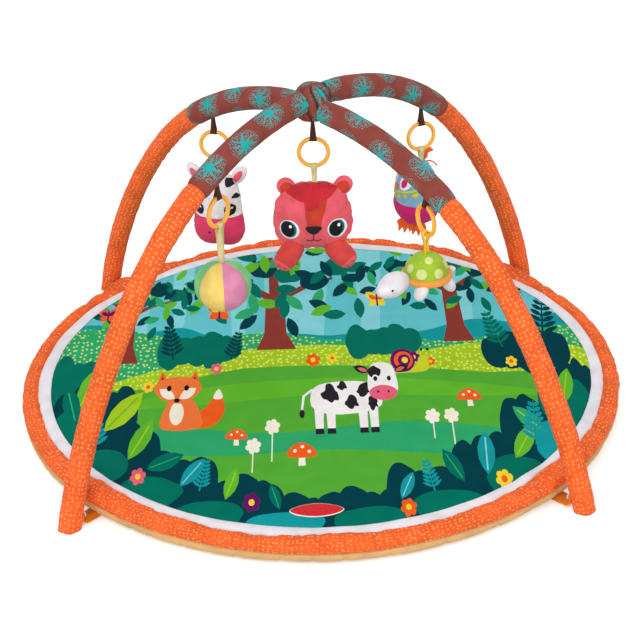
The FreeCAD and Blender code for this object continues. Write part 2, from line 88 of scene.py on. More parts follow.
# ==================================================================== finishes
class Finish:
    """A material under construction, with short ways to add and join its nodes."""

    def __init__(self, name, roughness=0.85, sheen=0.0, coat=0.0, specular=0.14):
        self.material = bpy.data.materials.new(name)
        self.material.use_nodes = True
        self.tree = self.material.node_tree
        self.shader = self.tree.nodes["Principled BSDF"]
        self.shader.inputs["Roughness"].default_value = roughness
        self.shader.inputs["Sheen Weight"].default_value = sheen
        self.shader.inputs["Sheen Roughness"].default_value = 0.5
        self.shader.inputs["Coat Weight"].default_value = coat
        self.shader.inputs["Coat Roughness"].default_value = 0.15
        self.shader.inputs["Specular IOR Level"].default_value = specular

    def node(self, kind, **settings):
        made = self.tree.nodes.new("ShaderNode" + kind)
        for key, value in settings.items():
            setattr(made, key, value)
        return made

    def feed(self, socket, value):
        if isinstance(value, bpy.types.NodeSocket):
            self.tree.links.new(value, socket)
        else:
            socket.default_value = value[:3] if socket.type == "VECTOR" else value

    def calc(self, operation, a, b=0.0, c=0.0):
        made = self.node("Math", operation=operation)
        for socket, value in zip(made.inputs, (a, b, c)):
            self.feed(socket, value)
        return made.outputs[0]

    def times(self, a, b):
        return self.calc("MULTIPLY", a, b)

    def plus(self, a, b):
        return self.calc("ADD", a, b)

    def place(self, source="Object", scale=(1, 1, 1)):
        """Coordinates in metres on the piece, or along its cloth where it has a UV map."""
        if source == "UV":
            out = self.node("UVMap").outputs[0]
        else:
            out = self.node("TexCoord").outputs["Object"]
        mapping = self.node("Mapping")
        mapping.inputs["Scale"].default_value = scale
        self.feed(mapping.inputs["Vector"], out)
        return mapping.outputs[0]

    def split(self, vector):
        made = self.node("SeparateXYZ")
        self.feed(made.inputs[0], vector)
        return made.outputs

    def noise(self, where, scale, detail=2.0, roughness=0.5):
        made = self.node("TexNoise")
        self.feed(made.inputs["Vector"], where)
        made.inputs["Scale"].default_value = scale
        made.inputs["Detail"].default_value = detail
        made.inputs["Roughness"].default_value = roughness
        return made.outputs[0]

    def cells(self, where, scale, randomness=1.0, dimensions="3D"):
        made = self.node("TexVoronoi", voronoi_dimensions=dimensions)
        self.feed(made.inputs["Vector"], where)
        made.inputs["Scale"].default_value = scale
        made.inputs["Randomness"].default_value = randomness
        return made.outputs

    def step(self, value, low, high, out_low=0.0, out_high=1.0):
        """Smooth step between two values."""
        made = self.node("MapRange", interpolation_type="SMOOTHSTEP")
        self.feed(made.inputs["Value"], value)
        for key, number in (("From Min", low), ("From Max", high), ("To Min", out_low), ("To Max", out_high)):
            made.inputs[key].default_value = number
        return made.outputs[0]

    def mix(self, factor, low, high):
        made = self.node("Mix", data_type="RGBA")
        self.feed(made.inputs[0], factor)
        self.feed(made.inputs[6], low)
        self.feed(made.inputs[7], high)
        return made.outputs[2]

    def shade(self, colour, factor):
        """The colour, darker or lighter by a factor."""
        made = self.node("VectorMath", operation="SCALE")
        self.feed(made.inputs[0], colour)
        self.feed(made.inputs[3], factor)
        return made.outputs[0]

    def mottle(self, colour, where, scale=60.0, amount=0.12):
        """Slightly uneven dye."""
        factor = self.step(self.noise(where, scale, 4.0), 0.3, 0.7, 1.0 - amount, 1.0 + amount * 0.4)
        return self.shade(colour, factor)

    def colour(self, value):
        self.feed(self.shader.inputs["Base Color"], value)

    def bump(self, height, distance, strength=1.0):
        made = self.node("Bump")
        made.inputs["Strength"].default_value = strength
        made.inputs["Distance"].default_value = distance
        self.feed(made.inputs["Height"], height)
        if self.shader.inputs["Normal"].is_linked:
            earlier = self.shader.inputs["Normal"].links[0].from_socket
            self.feed(made.inputs["Normal"], earlier)
        self.feed(self.shader.inputs["Normal"], made.outputs[0])

    def weave(self, where, thread, distance):
        """Plain weave of threads that far apart, in metres."""
        x, y, z = self.split(where)
        count = 2 * pi / thread
        warp = self.calc("SINE", self.times(x, count))
        weft = self.calc("SINE", self.times(self.plus(y, z), count))
        height = self.times(warp, weft)
        self.bump(height, distance, 0.6)


def brushed_cloth(name, colour, roughness=0.9, sheen=0.03):
    """Brushed polyester in one dye."""
    finish = Finish(name, roughness, sheen)
    where = finish.place()
    finish.colour(finish.mottle(linear(colour), where))
    finish.bump(finish.noise(where, 1400.0, 3.0), 0.0003, 0.5)
    finish.bump(finish.noise(where, 90.0, 3.0), 0.0008, 0.35)
    return finish.material


def plush(name, colour):
    """Short velboa plush: soft sheen, fine nap and a slow cloud of darker pile."""
    finish = Finish(name, 0.95, 0.10, specular=0.1)
    where = finish.place()
    base = finish.mottle(linear(colour), where, 45.0, 0.14)
    nap = finish.step(finish.noise(where, 900.0, 4.0, 0.7), 0.35, 0.65, 0.92, 1.05)
    finish.colour(finish.shade(base, nap))
    finish.bump(finish.noise(where, 1100.0, 4.0, 0.7), 0.0006, 0.6)
    finish.bump(finish.noise(where, 120.0, 2.0), 0.0010, 0.3)
    return finish.material


DOT_PITCH, SPECK_PITCH, PRINT_DOT_PITCH = 0.0061, 0.0028, 0.0072      # between neighbouring dots
BURST_ROW, BURST_ROUND = 0.0560, 0.0515       # rows along the tube, and bursts round it


def dotted_cloth(name, crumple=0.0):
    """Orange brushed cloth with small pale dots, set out on a loose grid."""
    finish = Finish(name, 0.9, 0.05)
    distance = finish.cells(finish.place("UV"), 1 / DOT_PITCH, 0.55, "2D")[0]
    dots = finish.step(distance, 0.15, 0.32, 1.0, 0.0)
    worn = finish.step(finish.noise(finish.place(), 55.0, 2.0), 0.3, 0.7, 0.35, 0.80)
    ground = finish.mottle(linear("dotted orange"), finish.place(), 40.0, 0.16)
    finish.colour(finish.mix(finish.times(dots, worn), ground, linear("orange dot")))
    fine = finish.place()
    finish.bump(finish.noise(fine, 1200.0, 3.0), 0.0004, 0.6)
    finish.bump(finish.noise(fine, 60.0, 3.0), 0.0015, 0.3)
    if crumple:
        finish.bump(finish.noise(fine, 34.0, 2.0, 0.4), crumple, 0.7)
    return finish.material


def burst_cloth(name, painted_crease_shade=False):
    """Brown cloth with teal bursts of eight thin arms, each in a cloud of small dots."""
    finish = Finish(name, 0.9, 0.04)
    u, v = finish.split(finish.place("UV"))[:2]
    row = finish.calc("FLOOR", finish.calc("DIVIDE", u, BURST_ROW))
    slide = finish.times(finish.calc("MODULO", finish.calc("ABSOLUTE", row), 2.0), BURST_ROUND / 2)
    stagger = finish.times(finish.calc("SINE", finish.times(row, 2.7)), 0.006)
    slid = finish.plus(finish.plus(v, slide), stagger)
    across = finish.calc("WRAP", slid, BURST_ROUND / 2, -BURST_ROUND / 2)
    along = finish.calc("SUBTRACT", finish.calc("WRAP", u, BURST_ROW, 0.0), BURST_ROW / 2)
    radius = finish.calc("SQRT", finish.plus(finish.times(across, across),
                                             finish.times(along, along)))
    uneven = finish.noise(finish.place("UV"), 55.0, 1.0)
    angle = finish.plus(finish.calc("ARCTAN2", across, along), finish.times(uneven, 0.8))
    swing = finish.calc("ABSOLUTE", finish.calc("SINE", finish.times(angle, 4.0)))
    arm = finish.plus(finish.times(finish.times(swing, radius), 0.25),
                      finish.times(radius, 0.030))
    in_arm = finish.step(arm, 0.0012, 0.0016, 1.0, 0.0)
    tip = finish.plus(radius, finish.times(uneven, 0.012))
    burst = finish.times(in_arm, finish.step(tip, 0.0235, 0.0245, 1.0, 0.0))
    speck = finish.plus(finish.cells(finish.place("UV"), 1 / SPECK_PITCH, 0.6, "2D")[0],
                        finish.times(radius, 4.0))
    in_speck = finish.step(speck, 0.31, 0.40, 0.9, 0.0)
    halo = finish.step(finish.plus(radius, finish.times(uneven, 0.010)), 0.0268, 0.0282, 1.0, 0.0)
    print_mask = finish.calc("MAXIMUM", burst, finish.times(in_speck, halo))
    ground = finish.mottle(linear("bark brown"), finish.place(), 50.0, 0.14)
    colour = finish.mix(print_mask, ground, linear("leaf teal"))
    # Painted shade: with this set, the crease attribute mixes the colour toward the dark fold colour in the
    # fold valleys.
    if painted_crease_shade:
        crease = finish.node("Attribute", attribute_name="crease").outputs["Fac"]
        colour = finish.mix(finish.times(crease, 0.85), colour, linear("fold"))
    finish.colour(colour)
    fine = finish.place()
    finish.bump(finish.noise(fine, 1200.0, 3.0), 0.0004, 0.6)
    finish.bump(finish.noise(fine, 60.0, 3.0), 0.0012, 0.3)
    return finish.material


def printed_cloth(name):
    """Printed polyester: its colours and its dotted fields come from the cut of the print."""
    finish = Finish(name, 0.85, specular=0.02)
    where = finish.place()
    colour = finish.node("Attribute", attribute_name="print").outputs["Color"]
    dotted = finish.node("Attribute", attribute_name="dotted").outputs["Fac"]
    distance = finish.cells(finish.place("Object", (1, 0.62, 1)), 1 / PRINT_DOT_PITCH, 0.8, "2D")[0]
    dots = finish.times(finish.step(distance, 0.2, 0.28, 1.0, 0.0), finish.step(dotted, 0.2, 0.3))
    pale = finish.mix(finish.step(dotted, 0.6, 0.7), linear("grass dot"), linear("lime dot"))
    finish.colour(finish.mottle(finish.mix(dots, colour, pale), where, 30.0, 0.06))
    finish.weave(where, 0.0011, 0.00015)
    finish.bump(finish.noise(where, 25.0, 3.0), 0.0025, 0.4)
    return finish.material


def woven_cloth(name, colour):
    finish = Finish(name, 0.85, 0.03)
    where = finish.place()
    finish.colour(finish.mottle(linear(colour), where, 30.0, 0.10))
    finish.weave(where, 0.0010, 0.0002)
    finish.bump(finish.noise(where, 70.0, 3.0), 0.0012, 0.35)
    return finish.material


def webbing(name, colour):
    """Ribbed tape: fine ribs across, with painted shade between them."""
    finish = Finish(name, 0.7, 0.04, specular=0.25)
    where = finish.place()
    x, y, z = finish.split(where)
    rib = finish.calc("SINE", finish.times(finish.plus(finish.plus(x, y), z), 2 * pi / 0.0014))
    # Painted shade: the colour darkens in the grooves between the ribs and lightens a little on their crests.
    shade = finish.step(rib, -0.8, 0.6, 0.82, 1.05)
    finish.colour(finish.shade(finish.mottle(linear(colour), where, 120.0, 0.1), shade))
    finish.bump(rib, 0.0003, 0.6)
    return finish.material


def moulded(name, colour, roughness=0.32):
    """Glossy moulded plastic with a faint uneven skin."""
    finish = Finish(name, roughness, coat=0.3, specular=0.5)
    finish.shader.inputs["Subsurface Weight"].default_value = 0.08
    finish.shader.inputs["Subsurface Radius"].default_value = (0.004, 0.002, 0.001)
    where = finish.place()
    finish.colour(finish.mottle(linear(colour), where, 80.0, 0.05))
    finish.bump(finish.noise(where, 300.0, 2.0), 0.0001, 0.3)
    return finish.material


def plain_core(name, colour, roughness=0.6, metal=0.0):
    """Finish of the parts inside the arches and the mat."""
    finish = Finish(name, roughness)
    finish.shader.inputs["Metallic"].default_value = metal
    where = finish.place()
    finish.colour(finish.mottle(colour, where, 120.0, 0.15))
    finish.bump(finish.noise(where, 500.0, 3.0), 0.0002, 0.4)
    return finish.material


# ==================================================================== pieces
def add_piece(name, bm, finish, body, stands_for=()):
    """Makes an object of a bmesh, with its finish and body."""
    mesh = bpy.data.meshes.new(name)
    bmesh.ops.recalc_face_normals(bm, faces=bm.faces)
    bm.to_mesh(mesh)
    bm.free()
    for polygon in mesh.polygons:
        polygon.use_smooth = True
    piece = bpy.data.objects.new(name.replace(" ", "_"), mesh)
    scene.collection.objects.link(piece)
    mesh.materials.append(finish)
    if body:
        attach(piece, body)
    if stands_for:
        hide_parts(*stands_for)
    return piece


def soft_noise(point, scale, seed=0.0):
    """Smooth noise between -1 and 1."""
    return noise.noise(Vector((point[0] * scale + seed, point[1] * scale - seed,
                               point[2] * scale + 2 * seed)))


def puff(piece, pressure, cap, pinned=None, frames=20, stretch=0.0):
    """Blows the piece up as sewn cloth: no point moves further than the cap, and pinned points stay."""
    mesh = piece.data
    rest = [v.co.copy() for v in mesh.vertices]
    cloth = piece.modifiers.new("cloth", "CLOTH")
    settings = cloth.settings
    settings.quality = 6
    settings.mass = 0.15
    settings.tension_stiffness = 12
    settings.compression_stiffness = 12
    settings.bending_stiffness = 0.4
    settings.use_pressure = True
    settings.uniform_pressure_force = pressure
    settings.shrink_min = -stretch
    settings.effector_weights.gravity = 0.0
    if pinned:
        group = piece.vertex_groups.new(name="seam")
        group.add(pinned, 1.0, "REPLACE")
        settings.vertex_group_mass = "seam"
    cloth.point_cache.frame_start = 1
    cloth.point_cache.frame_end = frames
    for number in range(1, frames + 1):
        scene.frame_set(number)
    depsgraph = bpy.context.evaluated_depsgraph_get()
    blown = piece.evaluated_get(depsgraph).to_mesh()
    moved = [v.co.copy() for v in blown.vertices]
    piece.evaluated_get(depsgraph).to_mesh_clear()
    piece.modifiers.remove(cloth)
    for vertex, start, end in zip(mesh.vertices, rest, moved):
        step = end - start
        if step.length > cap:
            step *= cap / step.length
        vertex.co = start + step
    scene.frame_set(1)


# ==================================================================== arches
FOOT_RADIUS = 0.469
BEND_TOP, BEND_FOOT = radians(49.2), radians(75.3)
ROD_RADIUS = 0.0045
LEG_RADIUS = 0.015
MID_RADIUS = 0.0164
RING_RADIUS, WIRE_RADIUS = 0.020, 0.003


class Arch:
    """Rod line of one arch: a tight top bend and a wider bend down each leg."""

    def __init__(self, rod_node, heading):
        self.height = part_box(rod_node)[1].z - ROD_RADIUS
        self.heading = radians(heading)
        top_run, top_drop = sin(BEND_TOP), 1 - cos(BEND_TOP)
        leg_run, leg_drop = sin(BEND_FOOT) - top_run, cos(BEND_TOP) - cos(BEND_FOOT)
        scale = top_run * leg_drop - leg_run * top_drop
        self.top_radius = (FOOT_RADIUS * leg_drop - self.height * leg_run) / scale
        self.leg_radius = (self.height * top_run - FOOT_RADIUS * top_drop) / scale

    def centre(self, side):
        shorter = self.top_radius - self.leg_radius
        if side == 0:
            return Vector((0, 0, self.height - self.top_radius))
        return Vector((side * shorter * sin(BEND_TOP), 0,
                       self.height - self.top_radius + shorter * cos(BEND_TOP)))

    def slope(self, x):
        """Slope angle at distance x from the crossing, along the ground."""
        if abs(x) <= self.top_radius * sin(BEND_TOP):
            return asin(x / self.top_radius)
        side = 1 if x > 0 else -1
        return asin((x - self.centre(side).x) / self.leg_radius)

    def side_of(self, slope):
        return 0 if abs(slope) <= BEND_TOP else (1 if slope > 0 else -1)

    def point(self, slope):
        side = self.side_of(slope)
        radius = self.top_radius if side == 0 else self.leg_radius
        return self.centre(side) + Vector((radius * sin(slope), 0, radius * cos(slope)))

    def length(self, slope):
        """Length along the rod line from the crossing."""
        side = self.side_of(slope)
        if side == 0:
            return slope * self.top_radius
        return side * BEND_TOP * self.top_radius + (slope - side * BEND_TOP) * self.leg_radius

    def nearest(self, point):
        """Slope of the rod line beside a point in the arch's plane."""
        flat = Vector((point.x, 0, point.z))
        away = flat - self.centre(0)
        slope = atan2(away.x, away.z)
        if abs(slope) > BEND_TOP:
            side = 1 if slope > 0 else -1
            away = flat - self.centre(side)
            slope = atan2(away.x, away.z)
        return slope

    def spun(self, start, end, radius, pitch):
        """Open tube between two slopes, spun round the bends' centres, in the arch's own plane."""
        bm = bmesh.new()
        frame_at = Matrix.Translation(self.point(start)) @ Matrix.Rotation(start + pi / 2, 4, "Y")
        ring = bmesh.ops.create_circle(bm, segments=40, radius=radius, matrix=frame_at)["verts"]
        edges = list({edge for vert in ring for edge in vert.link_edges})
        geometry = list(ring) + edges
        limits = [start] + [s for s in (-BEND_TOP, BEND_TOP) if start < s < end] + [end]
        for low, high in zip(limits, limits[1:]):
            side = self.side_of((low + high) / 2)
            bend_radius = self.top_radius if side == 0 else self.leg_radius
            steps = max(1, round((high - low) * bend_radius / pitch))
            spin = bmesh.ops.spin(bm, geom=geometry, cent=self.centre(side), axis=(0, 1, 0), dvec=(0, 0, 0),
                                  angle=high - low, steps=steps, use_duplicate=False)
            geometry = spin["geom_last"]
        return bm

    def shape(self, bm, change):
        """Moves each vertex out from the rod line; change gives the new distance."""
        for vert in bm.verts:
            slope = self.nearest(vert.co)
            core = self.point(slope)
            out = vert.co - core
            round_angle = atan2(out.y, out.dot(Vector((sin(slope), 0, cos(slope)))))
            vert.co = core + out.normalized() * change(slope, round_angle, out.length)

    def lay_out(self, bm, radius):
        """UV map of the cloth in metres: along the tube, and round it from its underside."""
        layer = bm.loops.layers.uv.new("UVMap")
        for face in bm.faces:
            spots = []
            for loop in face.loops:
                slope = self.nearest(loop.vert.co)
                out = loop.vert.co - self.point(slope)
                spots.append([self.length(slope), atan2(out.y, out.dot(Vector((sin(slope), 0, cos(slope)))))])
            if max(s[1] for s in spots) - min(s[1] for s in spots) > pi:
                for spot in spots:
                    spot[1] += 2 * pi if spot[1] < 0 else 0
            for loop, spot in zip(face.loops, spots):
                loop[layer].uv = (spot[0], spot[1] * radius)

    def turned(self, bm):
        bmesh.ops.rotate(bm, verts=bm.verts, cent=(0, 0, 0), matrix=Matrix.Rotation(self.heading, 3, "Z"))
        return bm


UPPER = Arch("arch_a_rod_front", 45)
LOWER = Arch("arch_b_rod_front", 135)


def sleeve(arch, start, end, radius, change, closed=()):
    """Padded tube of cloth, closed at the named ends."""
    bm = arch.spun(start, end, radius, 0.004)
    for at in closed:
        rim = [e for e in bm.edges if e.is_boundary and abs(arch.nearest(e.verts[0].co) - at) < 0.01]
        bmesh.ops.contextual_create(bm, geom=rim)
    arch.shape(bm, change)
    return bm


# ==================================================================== shaping helpers
def curve(points, steps=6, closed=False):
    """Points along a smooth line through the given ones."""
    points = [Vector(p) for p in points]
    count = len(points)
    out = []
    for i in range(count if closed else count - 1):
        if closed:
            a, b, c, d = (points[(i + k) % count] for k in (-1, 0, 1, 2))
        else:
            a, b, c, d = (points[min(max(i + k, 0), count - 1)] for k in (-1, 0, 1, 2))
        for step in range(steps):
            t = step / steps
            out.append(0.5 * (2 * b + (c - a) * t + (2 * a - 5 * b + 4 * c - d) * t ** 2
                              + (3 * b - a - 3 * c + d) * t ** 3))
    return out if closed else out + [points[-1]]


def lathe(profile, steps, ring=True):
    """Cloth or plastic turned about Z from a (radius, height) profile, which is closed for a ring."""
    bm = bmesh.new()
    verts = [bm.verts.new((p[0], 0, p[1])) for p in profile]
    ends = verts[1:] + verts[:1] if ring else verts[1:]
    edges = [bm.edges.new(pair) for pair in zip(verts, ends)]
    bmesh.ops.spin(bm, geom=verts + edges, cent=(0, 0, 0), axis=(0, 0, 1), dvec=(0, 0, 0),
                   angle=2 * pi, steps=steps, use_merge=True, use_duplicate=False)
    bmesh.ops.remove_doubles(bm, verts=bm.verts, dist=1e-6)
    return bm


def tape(path, across, widths, thickness):
    """Band of tape swept along a path of points; across is the way of its width."""
    bm = bmesh.new()
    if not isinstance(across, list):
        across = [across] * len(path)
    start = [bm.verts.new(path[0] + across[0] * widths[0] / 2 * side) for side in (-1, 1)]
    edge = bm.edges.new(start)
    for point, width, way in list(zip(path, widths, across))[1:]:
        made = bmesh.ops.extrude_edge_only(bm, edges=[edge])["geom"]
        edge = [g for g in made if isinstance(g, bmesh.types.BMEdge) and g.is_boundary and
                all(v in made for v in g.verts)][0]
        ends = sorted(edge.verts, key=lambda v: v.co.dot(across[0]) if v.co.length else 0)
        for vert, side in zip(ends, (-1, 1)):
            vert.co = point + way * width / 2 * side
    bmesh.ops.solidify(bm, geom=bm.faces, thickness=thickness)
    return bm


def inside(point, outline):
    """Whether a flat point is inside a closed outline."""
    hit = False
    for a, b in zip(outline, outline[1:] + outline[:1]):
        if (a[1] > point[1]) != (b[1] > point[1]):
            if point[0] < (b[0] - a[0]) * (point[1] - a[1]) / (b[1] - a[1]) + a[0]:
                hit = not hit
    return hit


def facing(outline):
    """The outline, anticlockwise."""
    area = sum(a[0] * b[1] - b[0] * a[1] for a, b in zip(outline, outline[1:] + outline[:1]))
    return outline if area > 0 else outline[::-1]


def cut_cloth(outlines, pitch, low, high):
    """Flat cloth over the first outline, cut along all of them.

    Gives its triangles, each with the number of the last outline that it lies in, and its points."""
    points, faces = [], []
    for outline in outlines:
        start = len(points)
        points += [Vector((p[0], p[1])) for p in facing(list(outline))]
        faces.append(list(range(start, len(points))))
    ground = [tuple(p[:2]) for p in outlines[0]]
    columns, rows = int((high[0] - low[0]) / pitch), int((high[1] - low[1]) / pitch)
    for i in range(columns + 1):
        for j in range(rows + 1):
            spot = (low[0] + (i + 0.5 * (j % 2)) * pitch, low[1] + j * pitch)
            if inside(spot, ground):
                points.append(Vector(spot))
    made = delaunay_2d_cdt(points, [], faces, 0, pitch * 0.002, False)
    corners = np.array([p[:] for p in made[0]])
    triangles = [t for t in made[2] if len(t) == 3]
    centres = corners[np.array(triangles)].mean(1)
    top = np.full(len(triangles), -1)
    for number, outline in enumerate(outlines):
        inner = np.zeros(len(triangles), bool)
        outline = [tuple(p[:2]) for p in outline]
        for (ax, ay), (bx, by) in zip(outline, outline[1:] + outline[:1]):
            if ay != by:
                between = (centres[:, 1] < ay) != (centres[:, 1] < by)
                inner ^= between & (centres[:, 0] < ax + (centres[:, 1] - ay) * (bx - ax) / (by - ay))
        top[inner if number == 0 else inner & (top >= 0)] = number
    return [(t, k) for t, k in zip(triangles, top) if k >= 0], made[0]


# ==================================================================== stage and camera
def seen_directly(tree):
    """1 where the camera, a reflection or a clear piece looks at the backdrop, else 0."""
    path = tree.nodes.new("ShaderNodeLightPath")
    total = path.outputs["Is Camera Ray"]
    for other in ("Is Glossy Ray", "Is Transmission Ray"):
        joined = tree.nodes.new("ShaderNodeMath")
        joined.operation = "MAXIMUM"
        tree.links.new(total, joined.inputs[0])
        tree.links.new(path.outputs[other], joined.inputs[1])
        total = joined.outputs[0]
    return total


CAMERA_PLACE, LENS = (-0.01824, -2.2197, 1.3367), 100.31
CAMERA_TURN = (0.009, 0.505, -0.031)          # yaw, pitch down and roll
FLOOR_TONE, FLOOR_GLOW = 0.90, 0.34           # the glow is for the camera, and lights nothing
WORLD_LEVEL = 0.62
LAMPS = (("key", (-1.1, -1.6, 2.6), 2.0, 28), ("fill", (1.8, -1.2, 1.8), 2.0, 11),
         ("front", (-0.3, -3.2, 1.2), 2.4, 30), ("back", (0.3, 2.4, 2.2), 2.4, 18))


def set_stage():
    yaw, pitch, roll = CAMERA_TURN
    ahead = Vector((sin(yaw) * cos(pitch), cos(yaw) * cos(pitch), -sin(pitch)))
    right = Vector((cos(yaw), -sin(yaw), 0))
    up = right.cross(ahead)
    right, up = right * cos(roll) + up * sin(roll), up * cos(roll) - right * sin(roll)
    data = bpy.data.cameras.new("camera")
    data.sensor_width, data.lens = 36, LENS
    camera = bpy.data.objects.new("camera", data)
    scene.collection.objects.link(camera)
    camera.matrix_world = (Matrix.Translation(CAMERA_PLACE)
                           @ Matrix((right, up, -ahead)).transposed().to_4x4())
    scene.camera = camera
    scene.view_settings.view_transform = "Standard"

    bm = bmesh.new()
    bmesh.ops.create_grid(bm, x_segments=2, y_segments=2, size=7)
    bmesh.ops.translate(bm, verts=bm.verts, vec=(0, 0, -0.0003))
    mesh = bpy.data.meshes.new("floor")
    bm.to_mesh(mesh)
    bm.free()
    floor = bpy.data.objects.new("floor", mesh)
    scene.collection.objects.link(floor)
    paper = Finish("floor paper", 0.95, specular=0.05)
    paper.colour((FLOOR_TONE, FLOOR_TONE, FLOOR_TONE, 1))
    paper.shader.inputs["Emission Color"].default_value = (1.0, 1.0, 1.0, 1)
    paper.feed(paper.shader.inputs["Emission Strength"], paper.times(seen_directly(paper.tree), FLOOR_GLOW))
    mesh.materials.append(paper.material)

    world = bpy.data.worlds.new("world")
    scene.world = world
    world.use_nodes = True
    sky = world.node_tree.nodes["Background"]
    sky.inputs["Color"].default_value = (1.0, 1.0, 1.0, 1)
    level = world.node_tree.nodes.new("ShaderNodeMapRange")
    level.inputs["To Min"].default_value = WORLD_LEVEL
    world.node_tree.links.new(seen_directly(world.node_tree), level.inputs["Value"])
    world.node_tree.links.new(level.outputs[0], sky.inputs["Strength"])
    for name, place, size, power in LAMPS:
        light = bpy.data.lights.new(name, "AREA")
        light.shape, light.size, light.energy = "DISK", size, power
        lamp = bpy.data.objects.new(name, light)
        scene.collection.objects.link(lamp)
        lamp.location = place
        lamp.rotation_euler = (Vector((0, 0, 0.1)) - lamp.location).to_track_quat("-Z", "Y").to_euler()


set_stage()

# ==================================================================== mat
MAT_STEPS = 900
FRONT_STRETCH = 1.015       # the mat reaches this much further in front
SEAM_RADIUS = 0.425
PANEL_RADIUS, BORDER_RADIUS = 0.387, 0.404
LEG_ANGLES = [radians(45 + 90 * k) for k in range(4)]


def near_leg(angle, reach=0.16):
    away = min(abs((angle - leg + pi) % (2 * pi) - pi) for leg in LEG_ANGLES)
    return exp(-(away / reach) ** 2)


def wave(angle, count, seed=0.0):
    """Noise round the mat, that many bumps round, between -1 and 1."""
    around = count / (2 * pi)
    return noise.noise(Vector((cos(angle) * around + seed, sin(angle) * around - seed, seed)))


def reshape_ring(bm, change):
    for vert in bm.verts:
        angle = atan2(vert.co.y, vert.co.x)
        radius, z = change(hypot(vert.co.x, vert.co.y), angle, vert.co.z)
        y = radius * sin(angle)
        vert.co = (radius * cos(angle), y * FRONT_STRETCH if y < 0 else y, z)


def lay_ring(bm, radius):
    """UV map of a ring of cloth in metres."""
    layer = bm.loops.layers.uv.new("UVMap")
    for face in bm.faces:
        angles = [atan2(loop.vert.co.y, loop.vert.co.x) for loop in face.loops]
        if max(angles) - min(angles) > pi:
            angles = [a + 2 * pi if a < 0 else a for a in angles]
        for loop, angle in zip(face.loops, angles):
            reach = hypot(loop.vert.co.x, loop.vert.co.y)
            loop[layer].uv = (angle * radius, reach - loop.vert.co.z * 1.1)


TUCKS = [0.02 + k * 2 * pi / 46 + 0.05 * sin(k * 7.3) for k in range(46)]


def sagging(angle, z):
    """How far the seam between the tan and the dotted cloth wanders up and down."""
    return (0.0016 * wave(angle, 22, 14.0) + 0.0008 * wave(angle, 70,
                                                           15.0)) * exp(-((z - 0.0170) / 0.0055) ** 2)


def pulled(radius, angle):
    """How far the straps pull the mat's edge out beside the legs."""
    return 0.0032 * near_leg(angle, 0.11) * max(0.0, min(1.0, (radius - 0.410) / 0.012))


def underside_shape(radius, angle, z):
    if 0.0012 < z < 0.0166 and radius > 0.41:
        depth = sum(exp(-(((angle - tuck + pi) % (2 * pi) - pi) / 0.006) ** 2) for tuck in TUCKS)
        radius += 0.0012 * wave(angle, 60, 3.0) + 0.0006 * wave(angle, 170, 5.0) - 0.0022 * depth
        radius -= 0.0016 * exp(-((z - 0.0166) / 0.0012) ** 2)
    out = pulled(radius, angle)
    return radius + out, z + 0.8 * out + (sagging(angle, z) if radius > 0.42 else 0.0)


def make_mat():
    profile = curve([(0.404, 0.0002), (0.413, 0.0004), (0.4195, 0.0022), (0.4243, 0.0065), (0.4262, 0.0115),
                     (0.4258, 0.0150), (0.4243, 0.0168)], 3)
    profile = [(0, 0.0002), (0.2, 0.0002)] + [tuple(p) for p in profile] + [(0.418, 0.0176), (0.2, 0.0176),
                                                                            (0, 0.0176)]
    bm = lathe(profile, MAT_STEPS, ring=False)
    reshape_ring(bm, underside_shape)
    underside = add_piece("underside of the mat", bm, woven_cloth("tan cloth", "tan"), "mat",
                          ["mat_underside"])

    def ring_edge(angle):
        """How far the border's inner seam and the white ring wander."""
        return 0.0014 * wave(angle, 34, 9.0) + near_leg(angle,
                                                        0.15) * (0.0036 * wave(angle, 75, 2.0) - 0.0062)

    profile = curve([(BORDER_RADIUS, 0.0178), (BORDER_RADIUS - 0.0005, 0.0280), (0.4062, 0.0322),
                     (0.4112, 0.0338),
                     (0.4170, 0.0328), (0.4222, 0.0292), (0.4254, 0.0240), (0.4256, 0.0190), (0.4240, 0.0168),
                     (0.4180, 0.0170)], 2, closed=True)
    bm = lathe([tuple(p) for p in profile], MAT_STEPS)

    def border_shape(radius, angle, z):
        inner = max(0.0, 1 - (radius - 0.403) / 0.012)
        fold = 0.0025 * wave(angle, 46, 1.0) + 0.0010 * wave(angle, 150, 4.0)
        puffed = max(0.0, min(1.0, (z - 0.020) / 0.008))
        leg = near_leg(angle, 0.10)
        z += puffed * (fold * (1 + 1.3 * leg) + 0.0016 * leg)
        radius += inner * ring_edge(angle) + puffed * 0.0006 * wave(angle, 80, 7.0) * (1 + leg)
        return radius + pulled(radius, angle), z + 0.8 * pulled(radius, angle) + sagging(angle, z)

    reshape_ring(bm, border_shape)
    lay_ring(bm, SEAM_RADIUS)
    border = add_piece("border of the mat", bm, dotted_cloth("dotted border cloth", crumple=0.005), "mat",
                       ["mat_border"])
    pinned = [v.index for v in border.data.vertices
              if v.co.z < 0.0215 or hypot(v.co.x, v.co.y) < 0.4045]
    puff(border, 3.0, 0.0022, pinned, 14, 0.06)

    profile = curve([(PANEL_RADIUS - 0.001, 0.0178), (PANEL_RADIUS - 0.001, 0.0288), (0.3890, 0.0306),
                     (0.3955, 0.0316), (0.4015, 0.0308), (BORDER_RADIUS + 0.0006, 0.0285),
                     (BORDER_RADIUS + 0.0006, 0.0178)], 2, closed=True)
    bm = lathe([tuple(p) for p in profile], MAT_STEPS)

    def white_shape(radius, angle, z):
        outer = (radius - PANEL_RADIUS) / (BORDER_RADIUS - PANEL_RADIUS)
        crease = 0.0010 * wave(angle, 60, 6.0) + 0.0012 * near_leg(angle, 0.12) * wave(angle, 140, 8.0)
        z += crease * max(0.0, min(1.0, (z - 0.026) / 0.003))
        return radius + outer * ring_edge(angle) + (1 - outer) * 0.0008 * wave(angle, 40, 12.0), z

    reshape_ring(bm, white_shape)
    white = add_piece("white ring of the mat", bm, woven_cloth("white ring cloth", "piping"), "mat",
                      ["mat_white_ring"])


make_mat()

# ==================================================================== printed panel
TALL = 1.85                 # the print is drawn stretched, to be seen from low in front


